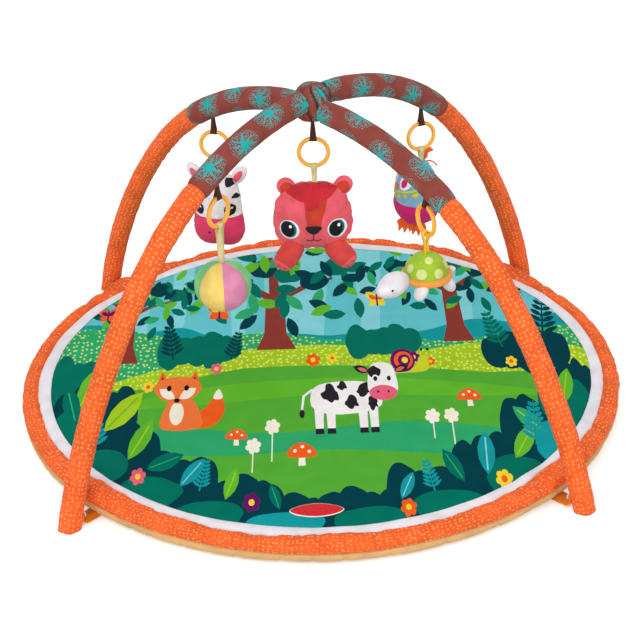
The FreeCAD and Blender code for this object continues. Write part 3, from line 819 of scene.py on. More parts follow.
class Drawing:
    """Fields of colour on the printed panel, in millimetres, later ones over earlier ones."""

    def __init__(self):
        self.fields = []

    def field(self, colour, outline, dotted=0.0, smooth=0):
        outline = [tuple(p)[:2] for p in (curve([(p[0], p[1], 0) for p in outline], smooth,
                                                True) if smooth else outline)]
        self.fields.append((colour, outline, dotted))

    def blob(self, colour, at, wide, high, turned=0.0, wobble=0.0, seed=0.0, count=18):
        """Upright round shape; at is the place on the mat, wide and high are half sizes as seen."""
        outline = []
        for k in range(count):
            angle = 2 * pi * k / count
            reach = 1 + wobble * noise.noise(Vector((cos(angle) * 1.6, sin(angle) * 1.6, seed)))
            x, h = wide * reach * cos(angle), high * reach * sin(angle)
            c, s = cos(radians(turned)), sin(radians(turned))
            outline.append((at[0] + x * c - h * s, at[1] + (x * s + h * c) * TALL))
        self.field(colour, outline, 0.0, 3 if wobble else 0)

    def leaf(self, colour, at, length, wide, angle, vein=None):
        """Pointed leaf from its stalk end."""
        c, s = cos(radians(angle)), sin(radians(angle))
        sides = [(t, wide * sin(pi * t) ** 0.8) for t in (0.15, 0.35, 0.6, 0.8)]
        outline = [(0, 0)] + [(t * length, -w / 2) for t, w in sides] + [(length, 0)] \
            + [(t * length, w / 2) for t, w in sides[::-1]]
        self.field(colour, [(at[0] + x * c - h * s, at[1] + (x * s + h * c) * TALL) for x, h in outline])
        if vein:
            self.stroke(vein, [(at[0] + x * c, at[1] + x * s * TALL) for x in (length * 0.1,
                                                                               length * 0.85)], wide * 0.09)

    def stroke(self, colour, path, wide, end=None):
        """Line of paint that can narrow towards its end."""
        path = [Vector((p[0], p[1])) for p in path]
        left, right = [], []
        for k, point in enumerate(path):
            way = path[min(k + 1, len(path) - 1)] - path[max(k - 1, 0)]
            side = Vector((-way.y, way.x * TALL)).normalized()
            half = (wide + ((end if end is not None else wide) - wide) * k / (len(path) - 1)) / 2
            side = Vector((side.x * half, side.y * half))
            left.append(point + side)
            right.append(point - side)
        self.field(colour, [tuple(p) for p in left + right[::-1]])

    def poly(self, colour, at, outline, smooth=0):
        """Upright outline, as seen, from its place on the mat."""
        self.field(colour, [(at[0] + x, at[1] + h * TALL) for x, h in outline], 0.0, smooth)


class Figure:
    """One figure of the print, drawn in units of its own size from the place where it stands."""

    def __init__(self, art, at, size):
        self.art, self.at, self.size = art, at, size

    def spot(self, x, h):
        return (self.at[0] + x * self.size, self.at[1] + h * self.size * TALL)

    def blob(self, colour, x, h, wide, high, *turn_and_wobble, count=18):
        self.art.blob(colour, self.spot(x, h), wide * self.size, high * self.size, *turn_and_wobble,
                      count=count)

    def leaf(self, colour, x, h, length, wide, angle):
        self.art.leaf(colour, self.spot(x, h), length * self.size, wide * self.size, angle)

    def stroke(self, colour, path, wide, end=None):
        end = None if end is None else end * self.size
        self.art.stroke(colour, [self.spot(x, h) for x, h in path], wide * self.size, end)

    def poly(self, colour, x, h, outline, smooth=0):
        self.art.poly(colour, self.spot(x, h), [(a * self.size, b * self.size) for a, b in outline], smooth)


def draw_tree(art, at, wide, high, seed, fan):
    """Trunk with boughs, under a loose crown of two-tone leaves."""
    u, v = at
    art.poly("bark", at, [(-wide * 0.75, 0), (-wide * 0.45, high * 0.3), (-wide * 0.4, high),
                          (wide * 0.35, high), (wide * 0.42, high * 0.3), (wide * 0.8, 0)])
    top = (u, v + high * TALL)
    for angle in fan:
        c, s = cos(radians(angle)), sin(radians(angle))
        reach = wide * 2.6
        art.stroke("bark", [(top[0], top[1] - 12), (top[0] + c * reach * 0.5,
                                                    top[1] + s * reach * TALL * 0.4),
                            (top[0] + c * reach, top[1] + s * reach * TALL * 0.75)], wide * 0.5, wide * 0.2)
    for k in range(6):
        x, h = wide * (k - 2.5) * 1.05, wide * (0.7 + 0.35 * ((k * 5 + seed) % 3))
        art.blob(("bush", "deep green")[k % 2], (top[0] + x, top[1] + h * TALL), wide * 0.62, wide * 0.42,
                 0, 0.2, k + seed)
    for k in range(54):
        angle = k * 137.5 + seed * 40
        ring = wide * (0.4 + 3.1 * sqrt((k + 0.5) / 54))
        x = ring * cos(radians(angle)) * 1.2
        h = ring * sin(radians(angle)) * 0.55 + wide * 0.75
        colour = ("deep green", "leaf green", "bush", "far green", "bush", "deep green")[(k * 5 + seed) % 6]
        art.leaf(colour, (top[0] + x, top[1] + h * TALL), wide * 0.95, wide * 0.44, angle * 1.7 % 360)


def draw_bush(art, at, reach, high, seed, colour="bush"):
    """Low bush of round clumps."""
    for k in range(5):
        x = (k - 2) * reach / 2.4
        art.blob(colour, (at[0] + x, at[1]), reach * 0.40, high * (0.75 + 0.3 * ((k * 7 + seed) % 3) / 2),
                 0, 0.15, seed + k, count=16)


def draw_fern(art, at, high, lean, colour):
    for k in range(7):
        t = (k + 1) / 8
        x, y = at[0] + lean * t * high, at[1] + t * high * TALL
        for side in (0, 1):
            art.leaf(colour, (x, y), high * 0.34 * (1.15 - t * 0.8), high * 0.10,
                     (150 if side else 30) - lean * 40)
    art.stroke(colour, [(at[0], at[1]), (at[0] + lean * high * 0.5, at[1] + high * 0.5 * TALL),
                        (at[0] + lean * high, at[1] + high * TALL)], high * 0.05, high * 0.02)


def draw_flower(art, at, size, petal, heart, stalk=0.0):
    if stalk:
        art.stroke("cream" if petal == "cream" else "deep green", [at, (at[0] + 1, at[1] + stalk * TALL)],
                   1.6)
        at = (at[0] + 1, at[1] + stalk * TALL)
    for k in range(6):
        a = radians(60 * k + 15)
        art.blob(petal, (at[0] + size * 0.62 * cos(a), at[1] + size * 0.62 * sin(a) * TALL), size * 0.36,
                 size * 0.36, count=9)
    art.blob(heart, at, size * 0.34, size * 0.34, count=9)


def draw_mushroom(art, at, size):
    figure = Figure(art, at, size)
    figure.poly("cream", 0, 0, [(-0.25, 0), (-0.18, 0.8), (0.18, 0.8), (0.25, 0)])
    figure.poly("poppy", 0, 0, [(-1, 0.62), (-0.75, 1.15), (0, 1.5), (0.75, 1.15), (1, 0.62), (0, 0.5)], 3)
    for x, h in ((-0.45, 0.95), (0.05, 1.2), (0.5, 0.9)):
        figure.blob("cream", x, h, 0.13, 0.11, count=9)


def draw_cow(art, at, size):
    """White calf with black patches and a pink muzzle."""
    calf = Figure(art, at, size)
    for x in (-0.52, -0.30, 0.30, 0.50):
        calf.poly("cow white", x, 0, [(-0.07, 0), (-0.09, 0.55), (0.09, 0.55), (0.07, 0)])
        calf.poly("cow black", x, 0, [(-0.08, 0), (-0.075, 0.10), (0.075, 0.10), (0.08, 0)])
    calf.poly("cow white", 0, 0.42, [(-0.66, 0.1), (-0.60, 0.46), (-0.2, 0.56), (0.35, 0.55), (0.64, 0.42),
                                     (0.66, 0.08), (0.3, -0.04), (-0.3, -0.06)], 3)
    for x, h, wide, high in ((-0.28, 0.75, 0.17, 0.15), (0.12, 0.58, 0.13, 0.11), (0.40, 0.82, 0.16, 0.11),
                             (0.52, 0.55, 0.09, 0.12), (-0.05, 0.90, 0.10, 0.07)):
        calf.blob("cow black", x, h, wide, high, 15, 0.6, x)
    calf.stroke("cow white", [(-0.62, 0.85), (-0.80, 0.72), (-0.84, 0.45)], 0.07, 0.04)
    calf.blob("cow black", -0.84, 0.38, 0.05, 0.08)
    for side in (-1, 1):
        droop = 20 if side > 0 else 160
        calf.leaf("cow black", 0.72 + side * 0.24, 1.16, 0.32, 0.16, droop)
        calf.leaf("rose", 0.72 + side * 0.27, 1.17, 0.20, 0.08, droop)
    calf.poly("cow white", 0.72, 0.72, [(-0.24, 0), (-0.27, 0.36), (-0.16, 0.60), (0.16, 0.60), (0.27, 0.36),
                                        (0.24, 0)], 3)
    calf.blob("cow black", 0.57, 1.15, 0.12, 0.13, 20, 0.3, 4)
    calf.blob("rose", 0.72, 0.74, 0.27, 0.15)
    for side in (-1, 1):
        calf.blob("plum", 0.72 + side * 0.10, 0.76, 0.025, 0.025, count=8)
        calf.blob("cow white", 0.72 + side * 0.13, 1.03, 0.065, 0.07, count=12)
        calf.blob("cow black", 0.72 + side * 0.13, 1.02, 0.04, 0.05, count=10)


def draw_fox(art, at, size):
    """Sitting orange fox with a bushy tail."""
    fox = Figure(art, at, size)
    fox.poly("poppy", 0, 0, [(0.2, 0.02), (0.75, 0.05), (0.98, 0.42), (0.80, 0.85), (0.62, 0.55),
                             (0.35, 0.30)], 4)
    fox.poly("cream", 0.80, 0.60, [(-0.10, 0.06), (0.02, 0.28), (0.12, 0.06)], 3)
    fox.poly("fox", 0, 0, [(-0.40, 0), (-0.38, 0.45), (-0.12, 0.72), (0.22, 0.66), (0.44, 0.30), (0.42, 0)],
             4)
    fox.blob("cream", -0.10, 0.34, 0.16, 0.26)
    for side in (-1, 1):
        fox.poly("poppy", -0.12 + side * 0.34, 1.0, [(-0.16, 0), (0.05 * side, 0.34), (0.16, 0)])
        fox.poly("plum", -0.12 + side * 0.34, 1.02, [(-0.08, 0), (0.04 * side, 0.18), (0.08, 0)])
    fox.poly("fox", -0.12, 0.86, [(-0.54, 0.02), (-0.40, 0.26), (0, 0.34), (0.40, 0.26), (0.54, 0.02),
                                  (0.2, -0.26), (-0.2, -0.26)], 4)
    for side in (-1, 1):
        fox.leaf("cream", -0.12 + side * 0.05, 0.68, 0.44, 0.22, 32 if side > 0 else 148)
        fox.blob("eye", -0.12 + side * 0.20, 0.93, 0.055, 0.07, count=10)
    fox.blob("eye", -0.12, 0.64, 0.07, 0.05, count=10)


def draw_snail(art, at, size):
    snail = Figure(art, at, size)
    snail.poly("snail", 0, 0, [(-0.8, 0), (-0.75, 0.18), (0.3, 0.22), (0.55, 0.62), (0.85, 0.66),
                               (0.92, 0.34), (0.7, 0.02)], 4)
    for tip in (0.62, 0.88):
        snail.stroke("snail", [(tip, 0.55), (tip + 0.06, 0.92)], 0.05)
        snail.blob("eye", tip + 0.06, 0.95, 0.06, 0.06, count=9)
    for ring, (colour, reach) in enumerate((("plum", 0.50), ("poppy", 0.38), ("plum", 0.25),
                                            ("lemon", 0.13))):
        snail.blob(colour, -0.12 + 0.03 * ring, 0.52, reach, reach)


def draw_butterfly(art, at, size, colour, heart):
    for side in (-1, 1):
        art.leaf(colour, at, size, size * 0.62, 90 - side * 48)
        art.leaf(heart, at, size * 0.7, size * 0.36, 90 - side * 52)
        art.leaf(colour, at, size * 0.7, size * 0.5, -90 + side * 55)
    art.stroke("plum", [(at[0], at[1] - size * 0.45 * TALL), (at[0], at[1] + size * 0.5 * TALL)], size * 0.12)


def draw_landscape():
    art = Drawing()
    edge = PANEL_RADIUS * 1000
    art.field("sky", [(edge * cos(2 * pi * k / 360), edge * sin(2 * pi * k / 360)) for k in range(360)])
    for u, wide, lean in ((-330, 30, 6), (-236, 22, -8), (-168, 40, 4), (-92, 18, -5), (36, 30, 6),
                          (112, 22, 8), (164, 38, -6), (256, 26, 8), (318, 34, -4)):
        art.field("mist", [(u - wide, 70), (u - wide * 0.55 + lean, 400), (u + wide * 0.55 + lean, 400),
                           (u + wide, 70)])
    art.field("lagoon", [(-400, 30), (-400, 138), (-330, 148), (-270, 118), (-205, 132), (-150, 98),
                         (-60, 106),
                         (20, 92), (90, 108), (150, 96), (230, 128), (300, 116), (400, 150), (400, 30)], 0, 4)
    art.field("far green", [(-400, -60), (-400, 116), (-300, 132), (-190, 92), (-80, 108), (30, 78),
                            (120, 84), (200, 64), (400, 100), (400, -60)], 0.45, 4)
    art.field("lime", [(-400, -80), (-210, 20), (-120, 56), (10, 66), (130, 40), (260, 58), (400, 22),
                       (400, -80), (260, -36), (60, -10), (-120, -6), (-260, -60)], 1.0, 4)
    art.field("meadow", [(-400, -400), (-400, -66), (-250, -44), (-110, 4), (70, 0), (240, -30), (400, -62),
                         (400, -400)], 0, 4)
    art.field("leaf green", [(-300, -96), (-160, -44), (30, -30), (190, -52), (330, -92), (190, -90),
                             (20, -74), (-150, -88)], 0, 4)
    art.field("far green", [(-360, -190), (-220, -150), (-60, -170), (110, -150), (300, -196), (200, -236),
                            (20, -214), (-160, -220)], 0, 4)
    draw_tree(art, (-64, 56), 38, 88, 1, (25, 150, 95))
    draw_tree(art, (206, 62), 30, 92, 2, (30, 155))
    draw_tree(art, (-286, 30), 26, 84, 3, (20, 140))
    draw_bush(art, (96, 70), 46, 26, 2, "deep green")
    draw_bush(art, (-178, 62), 50, 28, 5, "deep green")
    draw_bush(art, (300, 30), 52, 34, 3)
    draw_bush(art, (-352, -20), 44, 40, 4, "deep green")
    draw_fern(art, (330, 60), 76, 0.2, "bush")
    draw_fern(art, (268, 40), 60, -0.25, "deep green")
    draw_fern(art, (-214, 36), 58, -0.2, "bush")
    draw_fern(art, (-130, 30), 46, 0.25, "bush")
    for at, size, petal in (((-10, 22), 11, "poppy"), ((18, 26), 8, "lemon"), ((136, 20), 10, "plum"),
                            ((-150, 6), 9, "rose"),
                            ((276, -2), 9, "lemon"), ((-246, -38), 9, "lemon"), ((160, 6), 7, "poppy")):
        draw_flower(art, at, size, petal, "lemon" if petal != "lemon" else "poppy")
    draw_snail(art, (124, -22), 36)
    draw_cow(art, (34, -176), 74)
    draw_fox(art, (-196, -150), 62)
    for at, high in (((-70, -238), 46), ((-96, -262), 34), ((150, -196), 30), ((176, -214), 40)):
        draw_flower(art, at, 11, "cream", "cream", high)
    for at, size in (((-30, -250), 20), ((-118, -196), 15), ((206, -118), 17)):
        draw_mushroom(art, at, size)
    for x, y, reach, high, seed in ((-318, -120, 50, 44, 1), (-286, -214, 56, 44, 2), (-214, -282, 60, 40, 3),
                                    (-130, -330, 60, 34, 5), (-40, -362, 60, 26, 6), (60, -356, 60, 28, 7),
                                    (150, -326, 60, 38, 8), (236, -272, 58, 48, 9), (304, -190, 52, 54, 10),
                                    (352, -90, 34, 48, 11)):
        draw_bush(art, (x, y), reach, high, seed)
    for x, y, wide, high, colour in ((-300, -236, 40, 22, "deep green"), (-232, -300, 44, 20, "deep green"),
                                     (-150, -352, 46, 16, "deep green"), (-52, -378, 50, 14, "lagoon"),
                                     (58, -376, 50, 15, "deep green"),
                                     (158, -348, 46, 18, "deep green"), (250, -292, 42, 26, "deep green"),
                                     (318, -212, 36, 30, "lagoon"),
                                     (-342, -150, 32, 34, "deep green"), (350, -120, 26, 34, "deep green")):
        art.blob(colour, (x, y), wide, high, 0, 0.15, x, count=16)
    for x, y, length, angle, colour, vein in (
            (-340, -96, 66, 74, "leaf green", "lime"), (-300, -150, 72, 48, "lime", "leaf green"),
            (-340, -130, 58, 112, "deep green", "far green"),
            (-262, -222, 60, 62, "leaf green", "lime"), (-236, -246, 52, 20, "deep green", "far green"),
            (-190, -288, 46, 48, "lagoon", "sky"),
            (-130, -322, 42, 70, "leaf green", "lime"), (180, -300, 48, 118, "deep green", "far green"),
            (212, -286, 56, 84, "lagoon", "sky"),
            (252, -250, 54, 52, "leaf green", "lime"), (318, -176, 60, 100, "deep green", "far green"),
            (334, -120, 54, 70, "leaf green", "lime"),
            (300, -190, 52, 136, "far green", "lime"), (96, -334, 38, 60, "lagoon", "sky"),
            (-60, -348, 34, 110, "deep green", "far green")):
        art.leaf(colour, (x, y), length, length * 0.42, angle, vein)
    for at, high, lean in (((284, -220), 60, 0.15), ((-308, -196), 56, -0.15), ((-164, -300), 40, 0.2),
                           ((140, -318), 40, -0.2)):
        draw_fern(art, at, high, lean, "lagoon")
    for at, size, petal in (((-96, -330), 12, "plum"), ((104, -352), 11, "poppy"),
                            ((232, -296), 12, "lemon"), ((-246, -262), 11, "rose")):
        draw_flower(art, at, size, petal, "lemon" if petal != "lemon" else "poppy")
    draw_butterfly(art, (-150, 176), 26, "poppy", "lemon")
    draw_butterfly(art, (92, 198), 22, "lemon", "poppy")
    draw_butterfly(art, (300, 214), 20, "rose", "cream")
    draw_butterfly(art, (-320, 176), 20, "poppy", "plum")
    return art.fields


PANEL_PITCH = 13.0          # spacing of the panel's inner points, in millimetres


def make_panel():
    fields = draw_landscape()
    edge = PANEL_RADIUS * 1000
    faces, points = cut_cloth([field[1] for field in fields], PANEL_PITCH, (-edge, -edge), (edge, edge))
    bm = bmesh.new()
    verts = []
    for x, y in points:
        near = min(hypot(x, y) / edge, 1.0)
        flat = (x * MM, y * MM, 0)
        lift = 0.0006 * soft_noise(flat, 14.0) + 0.0005 * soft_noise(flat, 40.0, 3.0)
        z = 0.0316 + lift - 0.0022 * max(0.0, (near - 0.955) / 0.045) ** 2
        verts.append(bm.verts.new((x * MM, y * MM * (FRONT_STRETCH if y < 0 else 1), z)))
    print_layer = bm.loops.layers.float_color.new("print")
    dotted_layer = bm.loops.layers.float.new("dotted")
    tones = {field[0]: linear(field[0]) for field in fields}
    for triangle, number in faces:
        face = bm.faces.new([verts[k] for k in triangle])
        colour, dotted = fields[number][0], fields[number][2]
        for loop in face.loops:
            loop[print_layer] = tones[colour]
            loop[dotted_layer] = dotted
    bmesh.ops.delete(bm, geom=[v for v in bm.verts if not v.link_faces], context="VERTS")
    bmesh.ops.recalc_face_normals(bm, faces=bm.faces)
    if sum(face.normal.z for face in bm.faces) < 0:
        bmesh.ops.reverse_faces(bm, faces=bm.faces)
    bmesh.ops.solidify(bm, geom=bm.faces, thickness=0.0125)
    panel = add_piece("printed panel", bm, printed_cloth("printed cloth"), "mat",
                      ["mat_print_panel", "mat_padding"])


make_panel()


def make_label():
    """Plain oval patch in red satin stitch with a pale edge, at the front of the panel."""
    low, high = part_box("mat_label")
    spot = (low + high) / 2
    red = Finish("red satin stitch", 0.6, 0.05)
    where = red.place()
    red.colour(red.mottle(linear("label"), where, 300.0, 0.15))
    red.bump(red.calc("SINE", red.times(red.split(where)[0], 2 * pi / 0.0009)), 0.0003, 0.6)
    pale = brushed_cloth("pale edge stitch", "cream")
    for name, finish, inset, level in (("edge of the patch", pale, 0.0, 0.0306),
                                       ("red patch", red.material, 0.0012, 0.0311)):
        bm = bmesh.new()
        bmesh.ops.create_circle(bm, cap_ends=True, segments=72, radius=1.0)
        half = ((high.x - low.x) / 2 - inset, (high.y - low.y) / 2 - inset)
        for vert in bm.verts:
            angle = atan2(vert.co.y, vert.co.x)
            reach = 1 / (abs(cos(angle)) ** 1.7 + abs(sin(angle)) ** 1.7) ** (1 / 1.7)
            vert.co = (half[0] * reach * cos(angle), half[1] * reach * sin(angle), 0)
        made = bmesh.ops.extrude_face_region(bm, geom=bm.faces)["geom"]
        top = [g for g in made if isinstance(g, bmesh.types.BMVert)]
        bmesh.ops.translate(bm, verts=top, vec=(0, 0, 0.0018))
        rims = [e for e in bm.edges if all(v in top for v in e.verts)]
        bmesh.ops.bevel(bm, geom=rims, offset=0.0006, segments=3, affect="EDGES", profile=0.5, material=-1)
        bmesh.ops.translate(bm, verts=bm.verts, vec=(spot.x, spot.y * FRONT_STRETCH, level))
        add_piece(name, bm, finish, "mat", ["mat_label"] if inset else ())


make_label()

# ==================================================================== arches
ORANGE_SLEEVE = dotted_cloth("dotted sleeve cloth")
BURST_SLEEVE = burst_cloth("burst sleeve cloth")
TAPER_START, TAPER_END = 0.058, 0.022       # the middle covers narrow into the crossing wrap


def leg_cover(arch, node, body, seam):
    """Dotted sleeve from its seam with the middle cover down to the floor."""
    side = 1 if seam > 0 else -1
    top, foot = arch.slope(seam), side * BEND_FOOT
    seed = seam * 31

    def change(slope, angle, reach):
        along = abs(arch.length(slope))
        from_top = abs(arch.length(slope) - arch.length(top))
        reach += 0.0009 * soft_noise((along * 22, cos(angle), sin(angle)), 1.0, seed)
        reach += 0.0006 * soft_noise((along * 85, cos(angle) * 2.2, sin(angle) * 2.2), 1.0, seed)
        inner = max(0.0, -cos(angle))
        ripple = sin(along * 2 * pi / 0.017 + 2 * sin(along * 40))
        reach += 0.0006 * inner * ripple * exp(-((from_top - 0.10) / 0.09) ** 2)
        reach -= 0.0007 * exp(-((angle - 2.6) / 0.06) ** 2)
        reach -= 0.0014 * exp(-(from_top / 0.004) ** 2)
        to_floor = abs(arch.length(slope) - arch.length(foot))
        fold = exp(-(to_floor / 0.022) ** 2)
        return reach + fold * (0.0008 * sin(angle * 5 + seed) - 0.0006)

    bm = sleeve(arch, min(top, foot), max(top, foot), LEG_RADIUS, change, (foot,))
    for vert in bm.verts:
        to_floor = abs(arch.length(arch.nearest(vert.co)) - arch.length(foot))
        share = max(0.0, 1 - to_floor / 0.045)
        down = Vector((side * cos(BEND_FOOT), 0, -sin(BEND_FOOT)))
        short = vert.co.z - 0.0005 - to_floor * sin(BEND_FOOT)
        vert.co += down * short / sin(BEND_FOOT) * share ** 2 * (3 - 2 * share)
        vert.co.z = max(vert.co.z, 0.0004)
    arch.lay_out(bm, LEG_RADIUS)
    piece = add_piece(node + " cloth", arch.turned(bm), ORANGE_SLEEVE, body, [node])


def mid_cover(arch, node, body, seam):
    """Burst-printed sleeve from the leg cover's seam up into the crossing."""
    side = 1 if seam > 0 else -1
    low, high = arch.slope(seam), arch.slope(side * TAPER_END)
    seed = seam * 17

    def change(slope, angle, reach):
        away = abs(arch.point(slope).x)
        along = abs(arch.length(slope))
        from_seam = abs(arch.length(slope) - arch.length(low))
        narrow = max(0.0, min(1.0, (TAPER_START - away) / (TAPER_START - TAPER_END)))
        reach -= 0.0016 * narrow ** 1.5
        reach += 0.0006 * soft_noise((along * 24, cos(angle), sin(angle)), 1.0, seed)
        reach += 0.0004 * soft_noise((along * 80, cos(angle) * 2.5, sin(angle) * 2.5), 1.0, seed)
        reach += 0.0010 * narrow * sin(angle * 9 + along * 120)
        reach -= 0.0007 * exp(-((angle - 2.9) / 0.06) ** 2)
        return reach - 0.0018 * exp(-(from_seam / 0.0035) ** 2)

    bm = sleeve(arch, min(low, high), max(low, high), MID_RADIUS, change, (low,))
    arch.lay_out(bm, MID_RADIUS)
    piece = add_piece(node + " cloth", arch.turned(bm), BURST_SLEEVE, body, [node])


for arch, key, body, front, rear in ((UPPER, "arch_a", "upper_arch", -0.214, 0.262),
                                     (LOWER, "arch_b", "lower_arch", -0.236, 0.236)):
    for place, seam in (("front", front), ("rear", rear)):
        leg_cover(arch, f"{key}_leg_cover_{place}", body, seam)
        mid_cover(arch, f"{key}_mid_cover_{place}", body, seam)


def make_wrap():
    """Gathered sleeve over the crossing, which twists as the arches close."""
    profile = curve([(0.0, 0.4180), (0.0110, 0.4182), (0.0178, 0.4212), (0.0214, 0.4280), (0.0228, 0.4370),
                     (0.0228, 0.4460), (0.0210, 0.4550), (0.0170, 0.4625), (0.0095, 0.4676), (0.0, 0.4690)],
                    6)
    bm = lathe([(max(p[0], 0), p[1]) for p in profile], 240, ring=False)
    crease_shade_layer = bm.verts.layers.float.new("crease")
    for vert in bm.verts:
        radius, angle, z = hypot(vert.co.x, vert.co.y), atan2(vert.co.y, vert.co.x), vert.co.z
        level = (z - 0.443) / 0.026
        full = min(1.0, radius / 0.014)
        twist = 1.5 * sin(level * 1.7) + 0.5 * soft_noise((cos(angle), sin(angle), level), 1.2)
        broad = exp(-(sin(3.5 * (angle + 0.30) + twist) / 0.22) ** 2)
        fine = exp(-(sin(5.5 * angle + 1.4 * twist + 1.0) / 0.22) ** 2)
        radius += full * (0.0012 - 0.0052 * broad - 0.0022 * fine
                          + 0.0008 * soft_noise((cos(angle) * 2, sin(angle) * 2, level * 2), 1.0, 4.0))
        arm = abs(cos(2 * (angle - pi / 4)))
        radius += full * 0.0016 * arm ** 4 * exp(-level ** 2)
        # The crease value marks the fold valleys, where painted shade darkens the cloth.
        vert[crease_shade_layer] = min(1.0, broad ** 1.5 + 0.6 * fine ** 2) * full
        vert.co.x, vert.co.y = radius * cos(angle), radius * sin(angle)
    lay_ring(bm, 0.030)
    wrap = add_piece("gathered wrap", bm, burst_cloth("creased burst cloth", True), None,
                     ["crossing_wrap_upper", "crossing_wrap_lower"])
    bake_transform(wrap)


make_wrap()


def make_straps():
    finish = webbing("strap webbing", "strap")
    for k, angle in enumerate(LEG_ANGLES):
        out, across = Vector((cos(angle), sin(angle), 0)), Vector((-sin(angle), cos(angle), 0))
        line = curve([(0.4130, 0, 0.0040), (0.4260, 0, 0.0036), (0.4400, 0, 0.0034), (0.4500, 0, 0.0046),
                      (0.4528, 0, 0.0100), (0.4515, 0, 0.0190)], 4)
        path = [out * p.x + UP * p.z for p in line]
        bm = tape(path, across, [0.0225] * len(path), 0.0017)
        add_piece(f"strap {k + 1}", bm, finish, "mat", ["leg_straps"] if k == 0 else ())


make_straps()

# ==================================================================== rings, loops and ribbons
HUNG = {"ball": (53, "upper_arch"), "bird": (20, "upper_arch"), "turtle": (-62, "lower_arch"),
        "zebra": (-10, "lower_arch"), "tiger": (0, "lower_arch")}
RING_PLASTIC = moulded("ring plastic", "ring")
LOOP_WEBBING = webbing("loop webbing", "loop")
RIBBON_SATIN = webbing("ribbon satin", "ribbon")
RIBBON_SATIN.node_tree.nodes["Principled BSDF"].inputs["Roughness"].default_value = 0.45


def middle(node):
    low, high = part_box(node)
    return (low + high) / 2


def hang(name):
    """Ring centre, the way along the ring's plane, and the way through the ring."""
    azimuth = radians(HUNG[name][0])
    return middle("ring_" + name), Vector((cos(azimuth), sin(azimuth), 0)), Vector((-sin(azimuth),
                                                                                    cos(azimuth), 0))


def make_ring_and_loop(name):
    centre, along, through = hang(name)
    bm = bmesh.new()
    ring = bmesh.ops.create_circle(bm, segments=20, radius=WIRE_RADIUS,
                                   matrix=Matrix.Translation((RING_RADIUS, 0, 0)))
    geometry = list(ring["verts"]) + list(bm.edges)
    bmesh.ops.spin(bm, geom=geometry, cent=(0, 0, 0), axis=(0, 1, 0), dvec=(0, 0, 0), angle=2 * pi, steps=80,
                   use_merge=True, use_duplicate=False)
    bmesh.ops.remove_doubles(bm, verts=bm.verts, dist=1e-6)
    bmesh.ops.rotate(bm, verts=bm.verts, cent=(0, 0, 0),
                     matrix=Matrix.Rotation(radians(HUNG[name][0]), 3, "Z"))
    bmesh.ops.translate(bm, verts=bm.verts, vec=centre)
    add_piece(name + " ring", bm, RING_PLASTIC, name + "_ring", ["ring_" + name])

    wire = centre.z + RING_RADIUS
    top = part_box("loop_" + name)[1].z + (0.005 if name == "tiger" else 0.0)
    turn = WIRE_RADIUS + 0.0008
    line = curve([(0, -0.0008, top), (0, -0.0010, wire + 0.016), (0, -0.0020, wire + 0.008), (0, -turn, wire),
                  (0, -turn * 0.7, wire - turn * 0.75), (0, 0, wire - turn),
                  (0, turn * 0.7, wire - turn * 0.75),
                  (0, turn, wire), (0, 0.0020, wire + 0.008), (0, 0.0010, wire + 0.016), (0, 0.0008, top)], 4)
    path = [Vector((centre.x, centre.y, 0)) + through * p.y + UP * p.z for p in line]
    widths = [0.0052 + 0.0046 * min(1.0, max(0.0, (wire + 0.022 - p.z) / 0.024)) for p in path]
    bm = tape(path, along, widths, 0.0011)
    add_piece(name + " loop", bm, LOOP_WEBBING, HUNG[name][1], ["loop_" + name])


def make_ribbon(name, node, top, finish=None, width=0.0085, twist=0.0, lean=(0, 0), thickness=0.0007):
    """Folded ribbon from the ring's lower wire down to the toy's top."""
    centre, along, through = hang(name)
    wire = centre.z - RING_RADIUS
    turn = WIRE_RADIUS + 0.0007
    line = curve([(0, -0.0006, top - 0.004), (0, -0.0008, (top + wire) / 2), (0, -0.0018, wire - 0.008),
                  (0, -turn, wire), (0, -turn * 0.7, wire + turn * 0.75), (0, 0, wire + turn),
                  (0, turn * 0.7, wire + turn * 0.75), (0, turn, wire), (0, 0.0018, wire - 0.008),
                  (0, 0.0008, (top + wire) / 2), (0, 0.0006, top - 0.004)], 5)
    path, ways, widths = [], [], []
    for p in line:
        down = min(1.0, max(0.0, (wire - p.z) / (wire - top)))
        turned = Matrix.Rotation(twist * down, 3, "Z")
        path.append(Vector((centre.x, centre.y, 0)) + turned @ (through * p.y)
                    + Vector((lean[0], lean[1], 0)) * down ** 2 + UP * p.z)
        ways.append(turned @ along)
        widths.append(width * (1 - 0.22 * down))
    bm = tape(path, ways, widths, thickness)
    add_piece(name + " ribbon", bm, finish or RIBBON_SATIN, name + "_toy", [node])


for name in HUNG:
    make_ring_and_loop(name)

# ==================================================================== toys
def rounded(wide, high, power=2.0, bumps=()):
    """Reach of a rounded outline at each angle; bumps are (degrees, spread, share of the reach)."""
    def reach(angle):
        out = 1 / ((abs(cos(angle)) / wide) ** power + (abs(sin(angle)) / high) ** power) ** (1 / power)
        for centre, spread, share in bumps:
            away = (angle - radians(centre) + pi) % (2 * pi) - pi
            out *= 1 + share * exp(-(away / radians(spread)) ** 2)
        return out
    return reach


